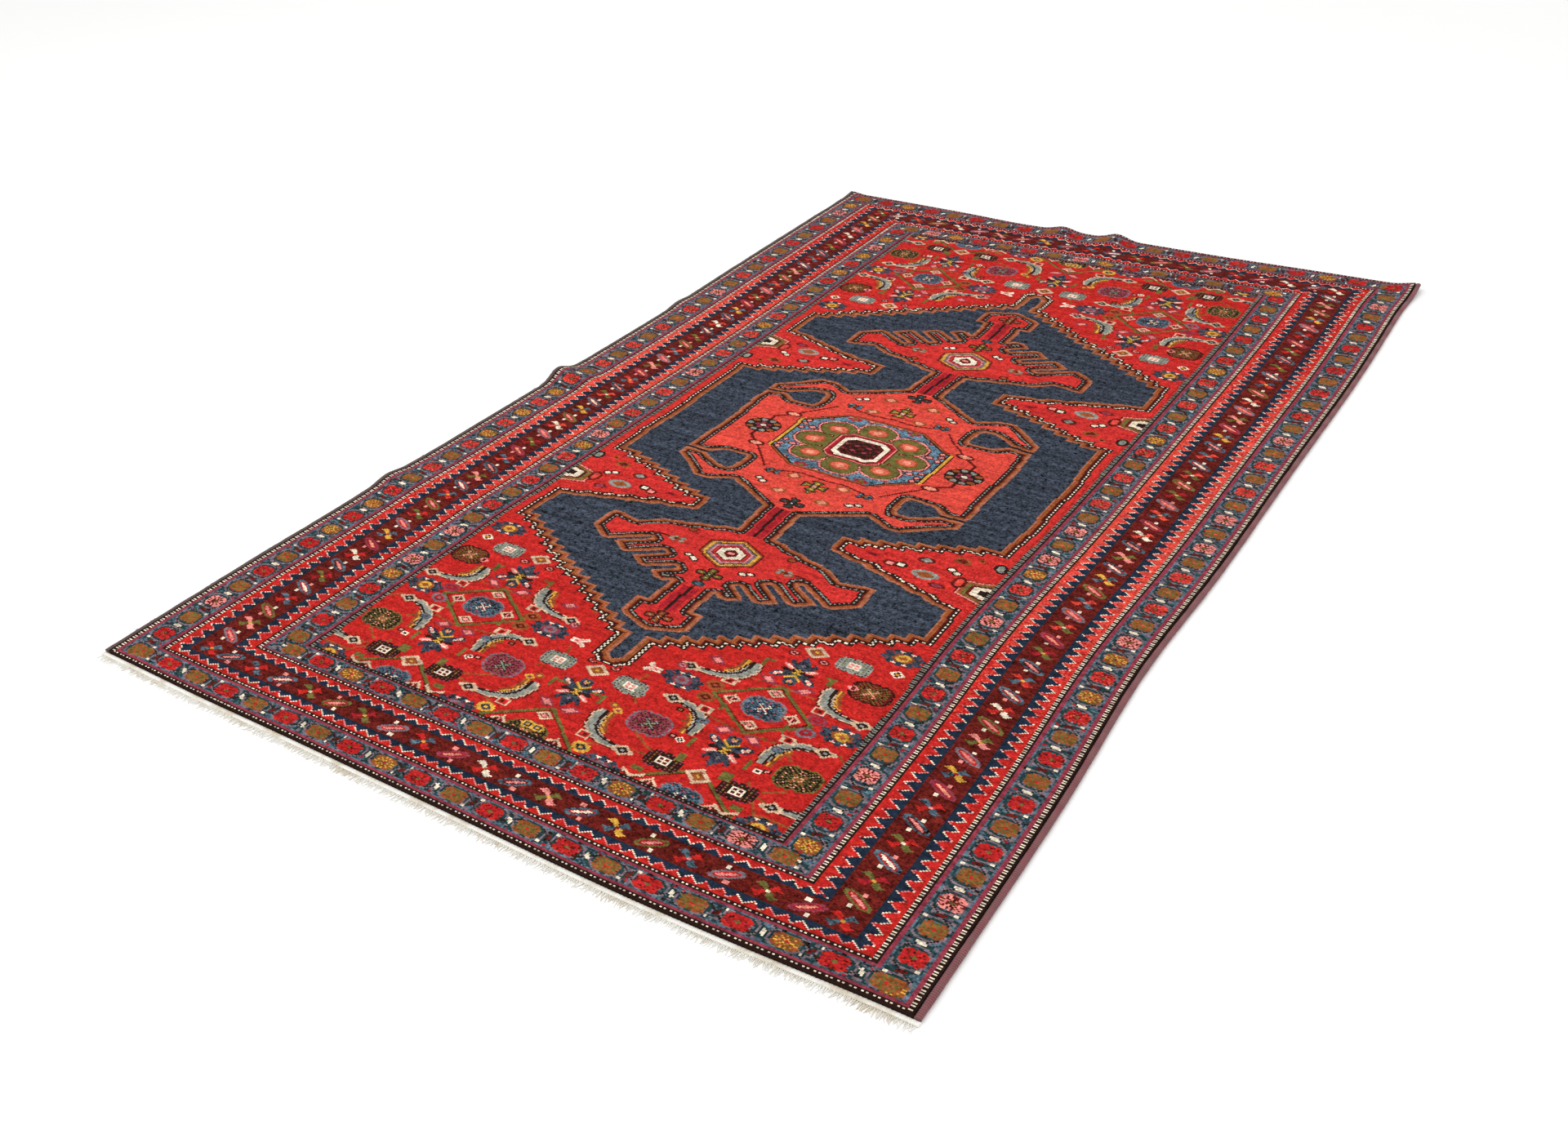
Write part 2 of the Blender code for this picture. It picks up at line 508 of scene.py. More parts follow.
def octagon(knots, across, along):
    """The medallion's light blue octagon, its eight-lobed flower and the ivory framed heart."""
    slant = np.maximum(across - 54, np.maximum(along - 53, (across - 28) * 0.66 + (along - 53) * 0.66))
    knots[slant < 0] = NUMBER["m"]
    knots[slant < -0.8] = NUMBER["o"]
    knots[(slant < -0.6) & (across > 50) & (along < 30)] = NUMBER["y"]
    knots[slant < -2.6] = NUMBER["k"]
    knots[(across >= 50) & (across < 51) & (along < 29)] = NUMBER["k"]
    blue = (slant < -3.4) & (across < 50)
    knots[blue] = NUMBER["l"]
    hearts = ((0, 33), (24.5, 24), (32.5, 0))
    lobes = [oval(across, along, x, y, 11.5, 12) for x, y in hearts]
    lobes.append(np.maximum(across / 22, along / 24))
    nested(knots, np.min(lobes, axis=0), ((1.27, "m"), (1.21, "p"), (1.09, "m"), (1.03, "g")), blue)
    for x, y in hearts:
        petal = oval(across, along, x, y, 5.8, 5.4)
        nested(knots, petal, ((1.28, "o"), (1, "a"), (0.5, "s")))
    frame = np.maximum(np.maximum(across / 21, along / 23), (across + along) / 37)
    nested(knots, frame, ((1, "m"), (0.96, "p"), (0.92, "c"), (0.83, "m"), (0.77, "i"), (0.61, "k")))
    mottle = (np.floor(across / 2) + np.floor(along / 2)) % 3
    knots[(frame < 0.6) & (mottle == 0)] = NUMBER["m"]
    knots[(frame < 0.55) & (ring(across % 8, along % 9, 4, 4.5, 2.2, 2) < 1)] = NUMBER["v"]
    for x, y in ((47.5, 13), (47.5, 21), (41, 17), (46.5, 27), (10, 50), (36, 41)):
        nested(knots, oval(across, along, x, y, 2.9, 3.1), ((1, "m"), (0.55, "p")), blue)
    nested(knots, ring(across, along, 21, 47, 6, 4), ((1, "c"), (0.5, "g")), blue)


def pendant_flower(knots, across, along):
    """The pendant's flower: nested six-sided outlines with a point at each end, round an ivory heart."""
    middle = np.abs(along - 195.5)
    flower = np.maximum(across / 16, middle / 19.5 + across * 0.6 / 16)
    levels = (
        (1.14, "m"), (1.06, "o"), (0.98, "y"), (0.9, "k"), (0.85, "e"), (0.75, "p"),
        (0.69, "v"), (0.62, "r"), (0.56, "m"), (0.5, "i"), (0.28, "m"), (0.12, "p"),
    )
    nested(knots, flower, levels)


def eye(knots, across, along):
    """The half flower that grows from the field's edge into each arrowhead."""
    middle = np.abs(along - 151)
    half = 139 - across
    shape = np.maximum(half / 17, middle / 16 + half * 0.42 / 17)
    here = (across < 139) & (along > 130) & (along < 172)
    levels = ((1, "m"), (0.95, "p"), (0.86, "o"), (0.76, "g"), (0.66, "m"), (0.54, "i"), (0.27, "k"))
    nested(knots, shape, levels, here)


def field_motifs(chart, room):
    """The field's small motifs, each tied in all four quarters wherever the room is the field's red."""
    star = drawn(STAR, "across along", c="v", d="e")
    gold_star = drawn(STAR, "across along", c="o", d="y")
    grey = drawn(ROSETTE, "across along", v="b", k="d", p="c")
    mauve = drawn(ROSETTE, "across along", p="g", i="w")
    olive = drawn(ROSETTE, "across along", e="g", v="k", k="g", p="s", i="o")
    bronze = drawn(ROSETTE, "across along", e="k", v="m", k="g", p="o", i="s")
    palmette = drawn(PALMETTE, "across")
    head = drawn(FLOWERHEAD, "across along")
    silver = drawn(FLOWERHEAD, "across along", k="w", v="k", o="g", m="p")
    for knots, x, y in (
        (gold_star, 127, 251), (star, 42, 348), (gold_star, 129, 348), (star, 43, 447),
        (gold_star, 128, 447), (bronze, 126, 298), (grey, 87, 348), (mauve, 45, 397), (olive, 126, 397),
        (grey, 87, 447), (olive, 0, 447), (palmette[::-1], 87, 300), (palmette, 87, 398),
        (palmette, 0, 398), (silver, 22, 372), (silver, 110, 276), (head, 67, 424), (head, 107, 424),
        (drawn(ARROW_FLOWER), 23, 348),
    ):
        stamp_four(chart, knots, x, y, room)
    across, along = off_axes()
    for x, y, half_x, half_y, rim, core in (
        (87, 425, 8, 7, "u", "o"), (88, 275, 7, 7.5, "u", "o"), (0, 370, 7, 7.5, "u", "o"),
        (131, 270, 4.5, 5, "i", "m"), (116, 298, 3, 4, "p", "m"),
    ):
        shape = ring(across, along, x, y, half_x, half_y)
        nested(chart, shape, ((1, rim), (0.62, core), (0.25, "y")), room)
    for x, y, width, height in (
        (70, 297, 7, 2), (68, 301, 3, 9), (104, 297, 7, 2), (104.5, 301, 3, 9), (70, 400, 3, 10),
        (101, 400, 3, 10), (15, 395, 3, 10), (11, 392, 9, 2), (73, 416, 5, 9), (98, 416, 6, 9),
        (60, 438, 6, 4), (113, 438, 6, 4), (69, 358, 3, 8), (103, 358, 3, 8),
    ):
        here = (np.abs(across - x) < width / 2) & (np.abs(along - y) < height / 2)
        chart[room & here] = NUMBER["g"]
    for x, y, slope in (
        (77, 318, 0.5), (97, 318, -0.5), (78, 379, -0.2), (94, 379, 0.2), (7, 415, -0.4), (47, 316, 0.2),
    ):
        dash = ring(across, along, x, y + (across - x) * slope, 6.0, 4.6)
        nested(chart, dash, ((1, "v"), (0.62, "p")), room)
    for x, y, half, rim, core in (
        (60, 400, 2.6, "k", "p"), (64.5, 402, 2.6, "i", "k"), (107, 402, 2.6, "i", "k"),
        (111, 400, 2.6, "k", "p"), (23, 394, 2.8, "o", "y"), (27, 398, 2.8, "y", "v"),
        (58, 341, 5.2, "o", "m"), (58, 355, 5.2, "o", "m"), (114, 340, 5.6, "v", "c"),
        (113, 355, 5.6, "e", "c"), (34, 334, 3.2, "v", "p"), (78, 282, 3.2, "m", "p"),
        (95, 283, 3.2, "m", "p"), (7, 362, 3.2, "m", "p"), (29, 439, 5.4, "y", "n"),
        (3, 440, 4, "y", "n"), (66, 378, 3.4, "b", "e"), (107, 378, 3.4, "b", "e"),
        (32, 311, 3.6, "o", "v"), (52, 375, 2.4, "k", "o"),
    ):
        square = np.maximum(np.abs(across - x), np.abs(along - y))
        spot = square * 0.55 + ring(across, along, x, y, 1, 1) * 0.45
        nested(chart, spot, ((half, rim), (0.58 * half, core), (0.25 * half, rim)), room)
    for x, y in ((60, 446), (110, 446)):
        chevron = along - y + 0.8 * np.abs(across - x)
        near = room & (np.abs(across - x) < 6)
        chart[near & (np.abs(chevron) < 1.2)] = NUMBER["u"]
        chart[near & between(chevron, 1.2, 2.6)] = NUMBER["m"]
    for thin in (
        [(109, 414), (122, 438), (140, 438)], [(30, 384), (22, 372)], [(29, 434), (45, 425), (58, 424)],
        [(118, 424), (130, 428)], [(52, 331), (60, 322), (87, 321)], [(122, 331), (112, 322), (87, 321)],
        [(44, 410), (60, 420)], [(126, 411), (118, 418)], [(24, 356), (22, 364)], [(134, 366), (139, 372)],
        [(58, 384), (66, 372), (87, 376)], [(116, 384), (108, 372), (87, 376)],
    ):
        line = knots_from(thin, across, along, False) < 0.8
        chart[room & line & (chart == NUMBER["r"])] = NUMBER["o"]


def centre_motifs(chart):
    """The scattered flowers inside the medallion, the pendants and the arrowheads."""
    stamp_four(chart, drawn(TREFOIL_CROSS), 0, 77)
    stamp_four(chart, drawn(LEAF_CROSS, "across along", g="t", y="g"), 0, 107)
    stamp_four(chart, drawn(LEAF_CROSS, "across along"), 0, 228)
    stamp_four(chart, drawn(LEAF_CROSS, "across along", g="o", y="w"), 0, 294)
    stamp_four(chart, drawn(BLOSSOM), 32, 69)
    stamp_four(chart, drawn(BLOSSOM, b="w", k="o", l="e", o="m"), 36, 198)
    across, along = off_axes()
    for stem in (
        [(70, 12), (70, 20), (60, 30), (54, 40), (46, 52), (40, 62)],
        [(0, 62), (14, 60), (26, 64), (32, 69)],
        [(36, 198), (52, 198), (58, 206)],
        [(0, 232), (0, 290)],
        [(86, 144), (102, 149), (122, 147)],
    ):
        near_stem = knots_from(stem, across, along, False) < 0.75
        chart[near_stem & np.isin(chart, (NUMBER["h"], NUMBER["j"]))] = NUMBER["m"]
    disc = oval(across, along, 70, 0, 12.5, 13)
    chart[disc < 1] = NUMBER["k"]
    for number in range(10):
        turn = np.radians(36 * number)
        petal = oval(across, along, 70 + 9.2 * np.cos(turn), 9.8 * np.sin(turn), 2.3, 2.1)
        chart[petal < 1] = NUMBER["o" if number % 3 == 1 else "w"]
    for number in range(5):
        turn = np.radians(72 * number)
        petal = oval(across, along, 70 + 4.2 * np.cos(turn), 4.4 * np.sin(turn), 1.9, 1.7)
        chart[petal < 1] = NUMBER["v"]
    chart[disc < 0.15] = NUMBER["i"]
    for x, y, half_x, half_y, rim, core in (
        (60, 31, 6, 4.5, "m", "s"), (17, 67, 5, 4.5, "o", "s"), (15, 94, 5, 4.5, "o", "s"),
        (30, 87, 3, 3, "k", "i"), (34, 83.5, 3, 3, "k", "i"), (33, 181, 3.5, 3.5, "m", "o"),
        (16, 216, 3, 3, "k", "i"), (20, 213.5, 3, 3, "k", "i"), (0, 243, 4, 3.5, "t", "b"),
        (102, 149, 8, 6, "w", "o"), (86, 144, 4, 4, "k", "i"), (80, 146, 4, 4, "m", "p"),
        (112, 134, 3.2, 3.2, "k", "i"), (116, 137, 3.2, 3.2, "k", "i"), (96, 130, 5, 4.5, "m", "w"),
        (114, 119, 5, 4.5, "o", "m"), (112, 159, 5, 3, "m", "v"), (123, 112, 2.5, 2, "o", "m"),
        (135, 115, 4, 6, "k", "w"), (121, 147, 4, 8, "m", "h"), (68, 141, 4, 2, "c", "m"),
    ):
        nested(chart, oval(across, along, x, y, half_x, half_y), ((1, rim), (0.6, core)))


def stripes(depth_side, depth_end, on_end, row, column):
    """The border's plain bands and its dotted guards.

    A knot belongs to the side or the end that it is nearer, counted in bands, so every band turns
    the corner on a mitre.
    """
    on_sides = np.searchsorted(SIDE_BANDS, depth_side, "right")
    on_ends = np.searchsorted(END_BANDS, depth_end, "right")
    band = np.where(on_end, on_ends, on_sides) - 1
    codes = np.array([NUMBER[code] for code in BAND_YARNS], np.uint8)
    knots = codes[np.clip(band, 0, len(codes) - 1)]
    for side, end, code in DOTTED:
        end_dot = (depth_end == end) & (column * DOTS_TO_A_KNOT % 1 < DOTS_TO_A_KNOT)
        side_dot = between(depth_side, side, side + 2) & (row * DOTS_TO_A_KNOT % 1 < DOTS_TO_A_KNOT)
        knots[np.where(on_end, depth_end == end, depth_side == side)] = NUMBER["k"]
        knots[np.where(on_end, end_dot, side_dot)] = NUMBER[code]
    return knots


def teeth(knots, depth_side, depth_end, on_end, row, column):
    """Rows of teeth, red on one side and navy on the other: a triangle wave of ivory and pink knots."""
    side_wave = np.abs((row - ROWS / 2) / TOOTH_ON_SIDES % 1 * 2 - 1)
    end_wave = np.abs((column - COLUMNS / 2) / TOOTH_ON_ENDS % 1 * 2 - 1)
    for side0, side1, low, high, end0, end1, end_low, end_high, inward in TEETH:
        here = np.where(on_end, between(depth_end, end0, end1), between(depth_side, side0, side1))
        past = np.where(
            on_end,
            depth_end + 0.5 - (end_low + (end_high - end_low) * end_wave),
            depth_side + 0.5 - (low + (high - low) * side_wave),
        )
        outer, inner = ("d", "r") if inward else ("r", "d")
        knots[here & (past < 0)] = NUMBER[outer]
        knots[here & (past >= 0)] = NUMBER[inner]
        line = here & (np.abs(past) < 0.48)
        knots[line] = np.where((row + column) % 2, NUMBER["p"], NUMBER["i"])[line]


def minor_borders(chart, on_end, depth_side, depth_end, row, column):
    """A row of rosettes, red and ochre in turn, ringed in teal and mauve on a speckled blue-grey ground.

    The share counts rosettes along the border and over counts the band's width, so each gap
    between two rosettes holds two slanting lines of vine and a dash, an oval on the same slant.
    """
    rng = np.random.default_rng(4)
    for (side0, side1, last_side, steps_side), (end0, end1, last_end, steps_end) in MINOR_BORDERS:
        here = np.where(on_end, between(depth_end, end0, end1), between(depth_side, side0, side1))
        speckle = np.kron(rng.random((ROWS // 2, COLUMNS // 2)), np.ones((2, 2)))
        chart[here] = NUMBER["b"]
        for low, high, code in ((0, 0.22, "t"), (0.22, 0.27, "c"), (0.27, 0.33, "k"), (0.75, 1, "e")):
            chart[here & between(speckle, low, high)] = NUMBER[code]
        pitch_side = 2 * last_side / steps_side
        pitch_end = 2 * last_end / steps_end
        end_share = (column - COLUMNS / 2 + last_end) / pitch_end
        side_share = (row - ROWS / 2 + last_side) / pitch_side
        share = np.where(on_end, end_share, side_share)
        over = np.where(on_end, (depth_end - end0) / (end1 - end0), (depth_side - side0) / (side1 - side0))
        around = np.hypot((share - np.round(share)) / 0.36, (over - 0.5) / 0.5)
        chart[here & between(around, 1.02, 1.2)] = NUMBER["e"]
        chart[here & between(around, 0.82, 1.02)] = NUMBER["t"]
        red_gap = np.floor(share) % 2 == 0
        gap = share - np.floor(share)
        slant = np.where(red_gap, over, 1 - over)
        chart[here & (np.abs(gap - 0.36 - 0.28 * slant) < 0.035)] = NUMBER["t"]
        vine = np.abs(gap - 0.2 - 0.6 * (1 - slant)) < 0.03
        chart[here & vine & between(over, 0.1, 0.9)] = NUMBER["k"]
        dash = np.hypot((gap - 0.43 - 0.14 * slant) / 0.055, (over - 0.5) / 0.21)
        nested(chart, dash, ((1.5, "t"), (1, "i")), here)
        nested(chart, dash, ((1, "m"),), here & red_gap)
        for off_gap, off_over in ((0.36, 0.12), (0.64, 0.88)):
            spot = np.hypot((gap - off_gap) / 0.04, (over - off_over) / 0.1)
            nested(chart, spot, ((1, "i"),), here & red_gap)
        middle_side = COLUMNS / 2 - (side0 + side1) / 2
        middle_end = ROWS / 2 - (end0 + end1) / 2
        for side in (-1, 1):
            for number in range(steps_side + 1):
                along = last_side - pitch_side * number
                stamp(chart, border_rosette(rng, number), side * middle_side, along)
            for number in range(steps_end + 1):
                across = last_end - pitch_end * number
                stamp(chart, border_rosette(rng, number).T, across, side * middle_end)


def border_rosette(rng, number):
    """A minor border's rosette, red or ochre in turn, now and then pink or gold, with a few odd knots."""
    is_red = number % 2 == 1
    petals = ("r", "c", "g") if is_red else ("o", "g", "r")
    if rng.random() < 0.2:
        petals = ("p", "m", "g") if is_red else ("o", "y", "c")
    knots = drawn(BORDER_ROSETTE, "across along", f=petals[0], h=petals[1], z=petals[2])
    odd_knots = (knots != BARE) & (rng.random(knots.shape) < 0.14)
    knots[odd_knots] = NUMBER["m" if is_red else "g"]
    return knots


def main_border(chart):
    """Cross flowers and slanting pods by turns on the maroon band, a flower at each corner."""
    flowers = (
        ("b", "r", "p"), ("g", "c", "y"), ("i", "r", "o"), ("y", "b", "c"),
        ("g", "r", "i"), ("r", "b", "y"), ("p", "g", "y"),
    )
    pods = (("b", "m", "p"), ("g", "c", "p"), ("v", "c", "s"), ("b", "c", "i"), ("e", "r", "p"))
    pitch = 2 * MAIN_END / SIDE_FLOWERS
    rng = np.random.default_rng(11)
    for side in (-1, 1):
        x, y = side * MAIN_SIDE, side * MAIN_END
        for number in range(SIDE_FLOWERS + 1):
            along = MAIN_END - number * pitch
            stamp(chart, cross_flower(flowers[(number * (2 + side) + 5) % 7]), x, along)
            if number < SIDE_FLOWERS:
                pod(chart, x, along - pitch / 2, 6.6, 5.6, 1, pods[(number * 2 + side) % 5], rng)
        for number in range(1, 10):
            across = 5 * END_PITCH - number * END_PITCH
            stamp(chart, cross_flower(flowers[(number * 3 + side) % 7]), across, y)
        for number in range(10):
            across = 4.5 * END_PITCH - number * END_PITCH
            pod(chart, across, y, 6.4, 4.9, -1, pods[(number * 2 + side + 1) % 5], rng)


def cross_flower(yarns):
    """A flower of two yarns' petals, laid crosswise, and a heart of a third."""
    return drawn(CROSS_FLOWER, **{"_1": yarns[0], "_2": yarns[1], "z": yarns[2]})


def pod(chart, x, y, reach_x, reach_y, lean, yarns, rng):
    """A slanting pod between two dots: how far each knot lies along and off a sloping line.

    The pod's three nested shells are where the share of its length, to the power of 2.6, and the
    share of its width, squared, add up to less than 1.
    """
    left, top = int(COLUMNS / 2 + x) - 12, int(ROWS / 2 + y) - 12
    patch = chart[top : top + 24, left : left + 24]
    row, column = np.indices(patch.shape)
    right = column + left + 0.5 - COLUMNS / 2 - x
    nearer = row + top + 0.5 - ROWS / 2 - y
    over, down = right / reach_x, nearer / reach_y * lean
    along, off = (over + down) / 2, (over - down) / 2
    for length, width, code in ((1.06, 0.42, yarns[0]), (0.84, 0.25, yarns[1]), (0.66, 0.12, yarns[2])):
        shell = np.abs(along / length) ** 2.6 + np.abs(off / width) ** 2
        patch[shell < 1] = NUMBER[code]
    for turn in (-1, 1):
        dot = np.maximum(np.abs(right - 1.8 * turn * lean) / 1.2, np.abs(nearer + 5.6 * turn) / 1.4)
        patch[dot < 1] = NUMBER["i" if rng.random() < 0.6 else "p"]


def knot_chart():
    """The whole rug's chart, a yarn number for each knot: rows from its far end, columns from its left."""
    quarter, corner = field_quarter()
    chart = np.block([[quarter[::-1, ::-1], quarter[::-1]], [quarter[:, ::-1], quarter]])
    room = np.block([[corner[::-1, ::-1], corner[::-1]], [corner[:, ::-1], corner]])
    field_motifs(chart, room)
    centre_motifs(chart)
    row, column = np.indices(chart.shape)
    depth_side = np.minimum(column, COLUMNS - 1 - column)
    depth_end = np.minimum(row, ROWS - 1 - row)
    on_end = np.interp(depth_end + 0.5, END_BANDS, SIDE_BANDS) < depth_side + 0.5
    border = (depth_side < SIDE_BANDS[-1]) | (depth_end < END_BANDS[-1])
    knots = stripes(depth_side, depth_end, on_end, row, column)
    teeth(knots, depth_side, depth_end, on_end, row, column)
    minor_borders(knots, on_end, depth_side, depth_end, row, column)
    chart[border] = knots[border]
    main_border(chart)
    # The red is paler towards the middle rows: there, more of its knots are tied in the lighter reds.
    paler = np.random.default_rng(9).random(chart.shape) < 0.9 * np.exp(-(((row - 500) / 260) ** 4))
    paler &= chart == NUMBER["r"]
    chart[paler] = np.where(border, NUMBER["h"], NUMBER["j"])[paler]
    # Inside the border the weaver's count drifts by a knot: slow waves, rounded to whole knots.
    drift_x = np.round(0.7 * np.sin(row / 31) + 0.6 * np.sin(row / 13 + column / 90)).astype(int)
    drift_y = np.round(0.8 * np.sin(column / 27) + 0.6 * np.sin(column / 11 + row / 80)).astype(int)
    drifted = chart[np.clip(row + drift_y, 0, ROWS - 1), np.clip(column + drift_x, 0, COLUMNS - 1)]
    return np.where(border, chart, drifted)


# ---------------------------------------------------------------------------
# How the rug lies: its bowed edges and its low ripples
# ---------------------------------------------------------------------------

# In metres: the gap between the pile and its edges, how far an end's bow reaches into the rug, what
# is taken off the ripples so that the rest lies flat, the plan's middle, and the chart's middle row.
GAP = 0.0003
END_REACH = 0.16
FLAT_LIFT = 0.0006
PLAN_MIDDLE = (-0.0006, 0.0126)
CENTRE_ROW = -0.0510

# Where an edge stands in or out: edge, middle, how far, half the length.
BOWS = (
    ("left", 0.22, 0.0085, 0.30),
    ("left", -0.50, -0.0040, 0.07),
    ("left", -0.85, -0.0060, 0.32),
    ("left", 1.05, -0.0030, 0.22),
    ("right", 0.60, 0.0070, 0.32),
    ("right", -0.40, -0.0120, 0.21),
    ("right", 1.03, 0.0060, 0.07),
    ("far", 0.00, -0.0190, 0.60),
    ("far", -0.21, -0.0060, 0.09),
    ("far", 0.27, -0.0025, 0.12),
    ("near", 0.00, -0.0060, 0.50),
    ("near", 0.28, -0.0045, 0.20),
    ("near", -0.45, -0.0018, 0.12),
    ("near", 0.64, 0.0045, 0.14),
)
# Where the rug rises off the floor: place, rise, half widths across and along.
RIPPLES = (
    (-0.655, -0.060, 0.0165, 0.085, 0.030),
    (-0.655, -0.500, 0.0060, 0.060, 0.028),
    (-0.655, 0.318, 0.0045, 0.055, 0.030),
    (-0.098, 1.060, 0.0095, 0.030, 0.110),
    (0.027, 1.060, 0.0125, 0.030, 0.130),
    (0.655, 1.050, 0.0085, 0.034, 0.055),
    (-0.655, 1.060, 0.0050, 0.030, 0.035),
)


def bell(distance, half_width):
    """Falls from 1 at no distance to 1/e at the half width: e to minus the squared share."""
    return np.exp(-((distance / half_width) ** 2))


def edge_shift(edge, along):
    """How far an edge is bowed at each place along it: the sum of its bells."""
    return sum(reach * bell(along - middle, half) for name, middle, reach, half in BOWS if name == edge)


def laid(sizes, x, y, height):
    """Points of the rug as it lies, from flat ones and a height above the rug's underside.

    Each edge's bow fades towards the middle, in a straight line from side to side and as a bell
    from each end. The ripples are bells as well, less a little, so that most of the rug lies flat.
    """
    right_share = np.clip(0.5 + x / sizes.pile_width, 0, 1)
    near_share = bell(np.maximum(y + sizes.pile_length / 2, 0), END_REACH)
    far_share = bell(np.maximum(sizes.pile_length / 2 - y, 0), END_REACH)
    bent_x = x + edge_shift("left", y) * (1 - right_share) + edge_shift("right", y) * right_share
    bent_y = y + edge_shift("near", x) * near_share + edge_shift("far", x) * far_share
    rise = sum(
        top * bell(bent_x - middle_x, half_x) * bell(bent_y - middle_y, half_y)
        for middle_x, middle_y, top, half_x, half_y in RIPPLES
    )
    lift = np.maximum(rise - FLAT_LIFT, 0)
    return np.stack((bent_x + PLAN_MIDDLE[0], bent_y + PLAN_MIDDLE[1], lift + height), axis=-1)


def row_place(sizes, row):
    """How far along the rug a row of knots lies.

    The rows are of one width on the near side of the centre row. On the far side they widen
    steadily to fill what is left, as the weaver's tension eased.
    """
    beyond = ROWS / 2 - row
    near_pitch = (CENTRE_ROW + sizes.pile_length / 2) / (ROWS / 2)
    widening = (sizes.pile_length / 2 - CENTRE_ROW) / (ROWS / 2) ** 2 - near_pitch / (ROWS / 2)
    return CENTRE_ROW + beyond * near_pitch + np.maximum(beyond, 0) ** 2 * widening


def mesh_from(name, points, faces, slots=None, smooth=True):
    """A mesh from one array of points and several of faces, each with the corners of its own kind."""
    mesh = bpy.data.meshes.new(name)
    mesh.vertices.add(len(points))
    mesh.vertices.foreach_set("co", points.astype(np.float32).ravel())
    corners = np.concatenate([group.ravel() for group in faces])
    counts = np.concatenate([np.full(len(group), group.shape[1]) for group in faces])
    mesh.loops.add(len(corners))
    mesh.loops.foreach_set("vertex_index", corners.astype(np.int32))
    mesh.polygons.add(len(counts))
    starts = np.concatenate(([0], np.cumsum(counts)[:-1]))
    mesh.polygons.foreach_set("loop_start", starts.astype(np.int32))
    if slots is not None:
        mesh.polygons.foreach_set("material_index", slots.astype(np.int32))
    mesh.polygons.foreach_set("use_smooth", np.full(len(counts), smooth, bool))
    mesh.update(calc_edges=True)
    mesh.validate()
    return mesh


def end_width(sizes):
    """How wide the rug is at its ends, with both of its overcast edges."""
    return sizes.pile_width + 2 * (GAP + sizes.selvedge_width)


def put_map(mesh, name, places):
    """Adds a UV map with a place for each face corner."""
    layer = mesh.uv_layers.new(name=name)
    layer.uv.foreach_set("vector", places.astype(np.float32).ravel())


def add_piece(name, mesh, materials, nodes):
    """Puts a finished mesh in the scene as a piece that rides with the rug and stands for its CAD solid."""
    piece = bpy.data.objects.new(name, mesh)
    bpy.context.scene.collection.objects.link(piece)
    for material in materials:
        mesh.materials.append(material)
    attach(piece, "root")
    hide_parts(*nodes)
    return piece


def tubes(centres, wide, tall, around, along_y=True):
    """Closed tubes, one for each row of centres: an oval section carried along a path.

    The section stands across the rug's length, or across its width if the path runs that way. A
    point is the path's, plus cosine times the half width and sine times the half height. The ends
    are closed by a face each.
    """
    count, stations = centres.shape[:2]
    turn = np.arange(around) * 2 * np.pi / around
    if not along_y:
        turn = -turn
    points = np.repeat(centres[:, :, None, :], around, axis=2)
    points[..., 0 if along_y else 1] += np.cos(turn) * wide[..., None]
    points[..., 2] += np.sin(turn) * tall[..., None]
    number = np.arange(count * stations * around).reshape(count, stations, around)
    following = np.roll(number, -1, axis=2)
    sides = np.stack((number[:, :-1], following[:, :-1], following[:, 1:], number[:, 1:]), axis=-1)
    sides = sides.reshape(-1, 4)
    caps = np.concatenate((number[:, 0, ::-1], number[:, -1]))
    return points, sides, caps


def tube_piece(name, material, stands_for, slot, centres, wide, tall, around, along_y=True):
    """A piece made of closed tubes."""
    points, sides, caps = tubes(centres, wide, tall, around, along_y)
    mesh = mesh_from(name, points.reshape(-1, 3), [sides, caps])
    return add_piece(name, mesh, [material], [stands_for])


# ---------------------------------------------------------------------------
# Materials
# ---------------------------------------------------------------------------

# A face's four yarn numbers are the digits of one number in this base.
BASE = 32
# How unevenly a yarn took its dye: the blues and the maroon more than the rest.
UNEVEN = {"n": 1.0, "l": 1.0, "b": 1.0, "m": 0.75}
UNEVEN_ELSE = 0.45


def linear(colour):
    """Linear colour from an sRGB hex value."""
    shares = np.array([int(colour[i : i + 2], 16) for i in (0, 2, 4)]) / 255
    return tuple(np.where(shares <= 0.04045, shares / 12.92, ((shares + 0.055) / 1.055) ** 2.4))


def node(tree, kind, settings=(), inputs=()):
    """Adds a node to a material, with its settings and its inputs.

    The settings are named, or a Math node's is just its operation. The inputs are named or in
    order, each a value, an output to link, or a node whose first output is linked.
    """
    made = tree.nodes.new("ShaderNode" + kind)
    if isinstance(settings, str):
        settings = {"operation": settings}
    for name, value in dict(settings).items():
        setattr(made, name, value)
    for name, value in inputs.items() if isinstance(inputs, dict) else enumerate(inputs):
        if isinstance(value, bpy.types.Node):
            value = value.outputs[0]
        if isinstance(value, bpy.types.NodeSocket):
            tree.links.new(value, made.inputs[name])
        else:
            made.inputs[name].default_value = value
    return made


def new_material(name):
    """An empty material with its output and a shader for matt fibre."""
    material = bpy.data.materials.new(name)
    material.use_nodes = True
    tree = material.node_tree
    tree.nodes.clear()
    shader = node(tree, "BsdfPrincipled")
    output = node(tree, "OutputMaterial", inputs={"Surface": shader})
    output.name = "Output"
    shader.name = "Fibre"
    return material, tree, shader


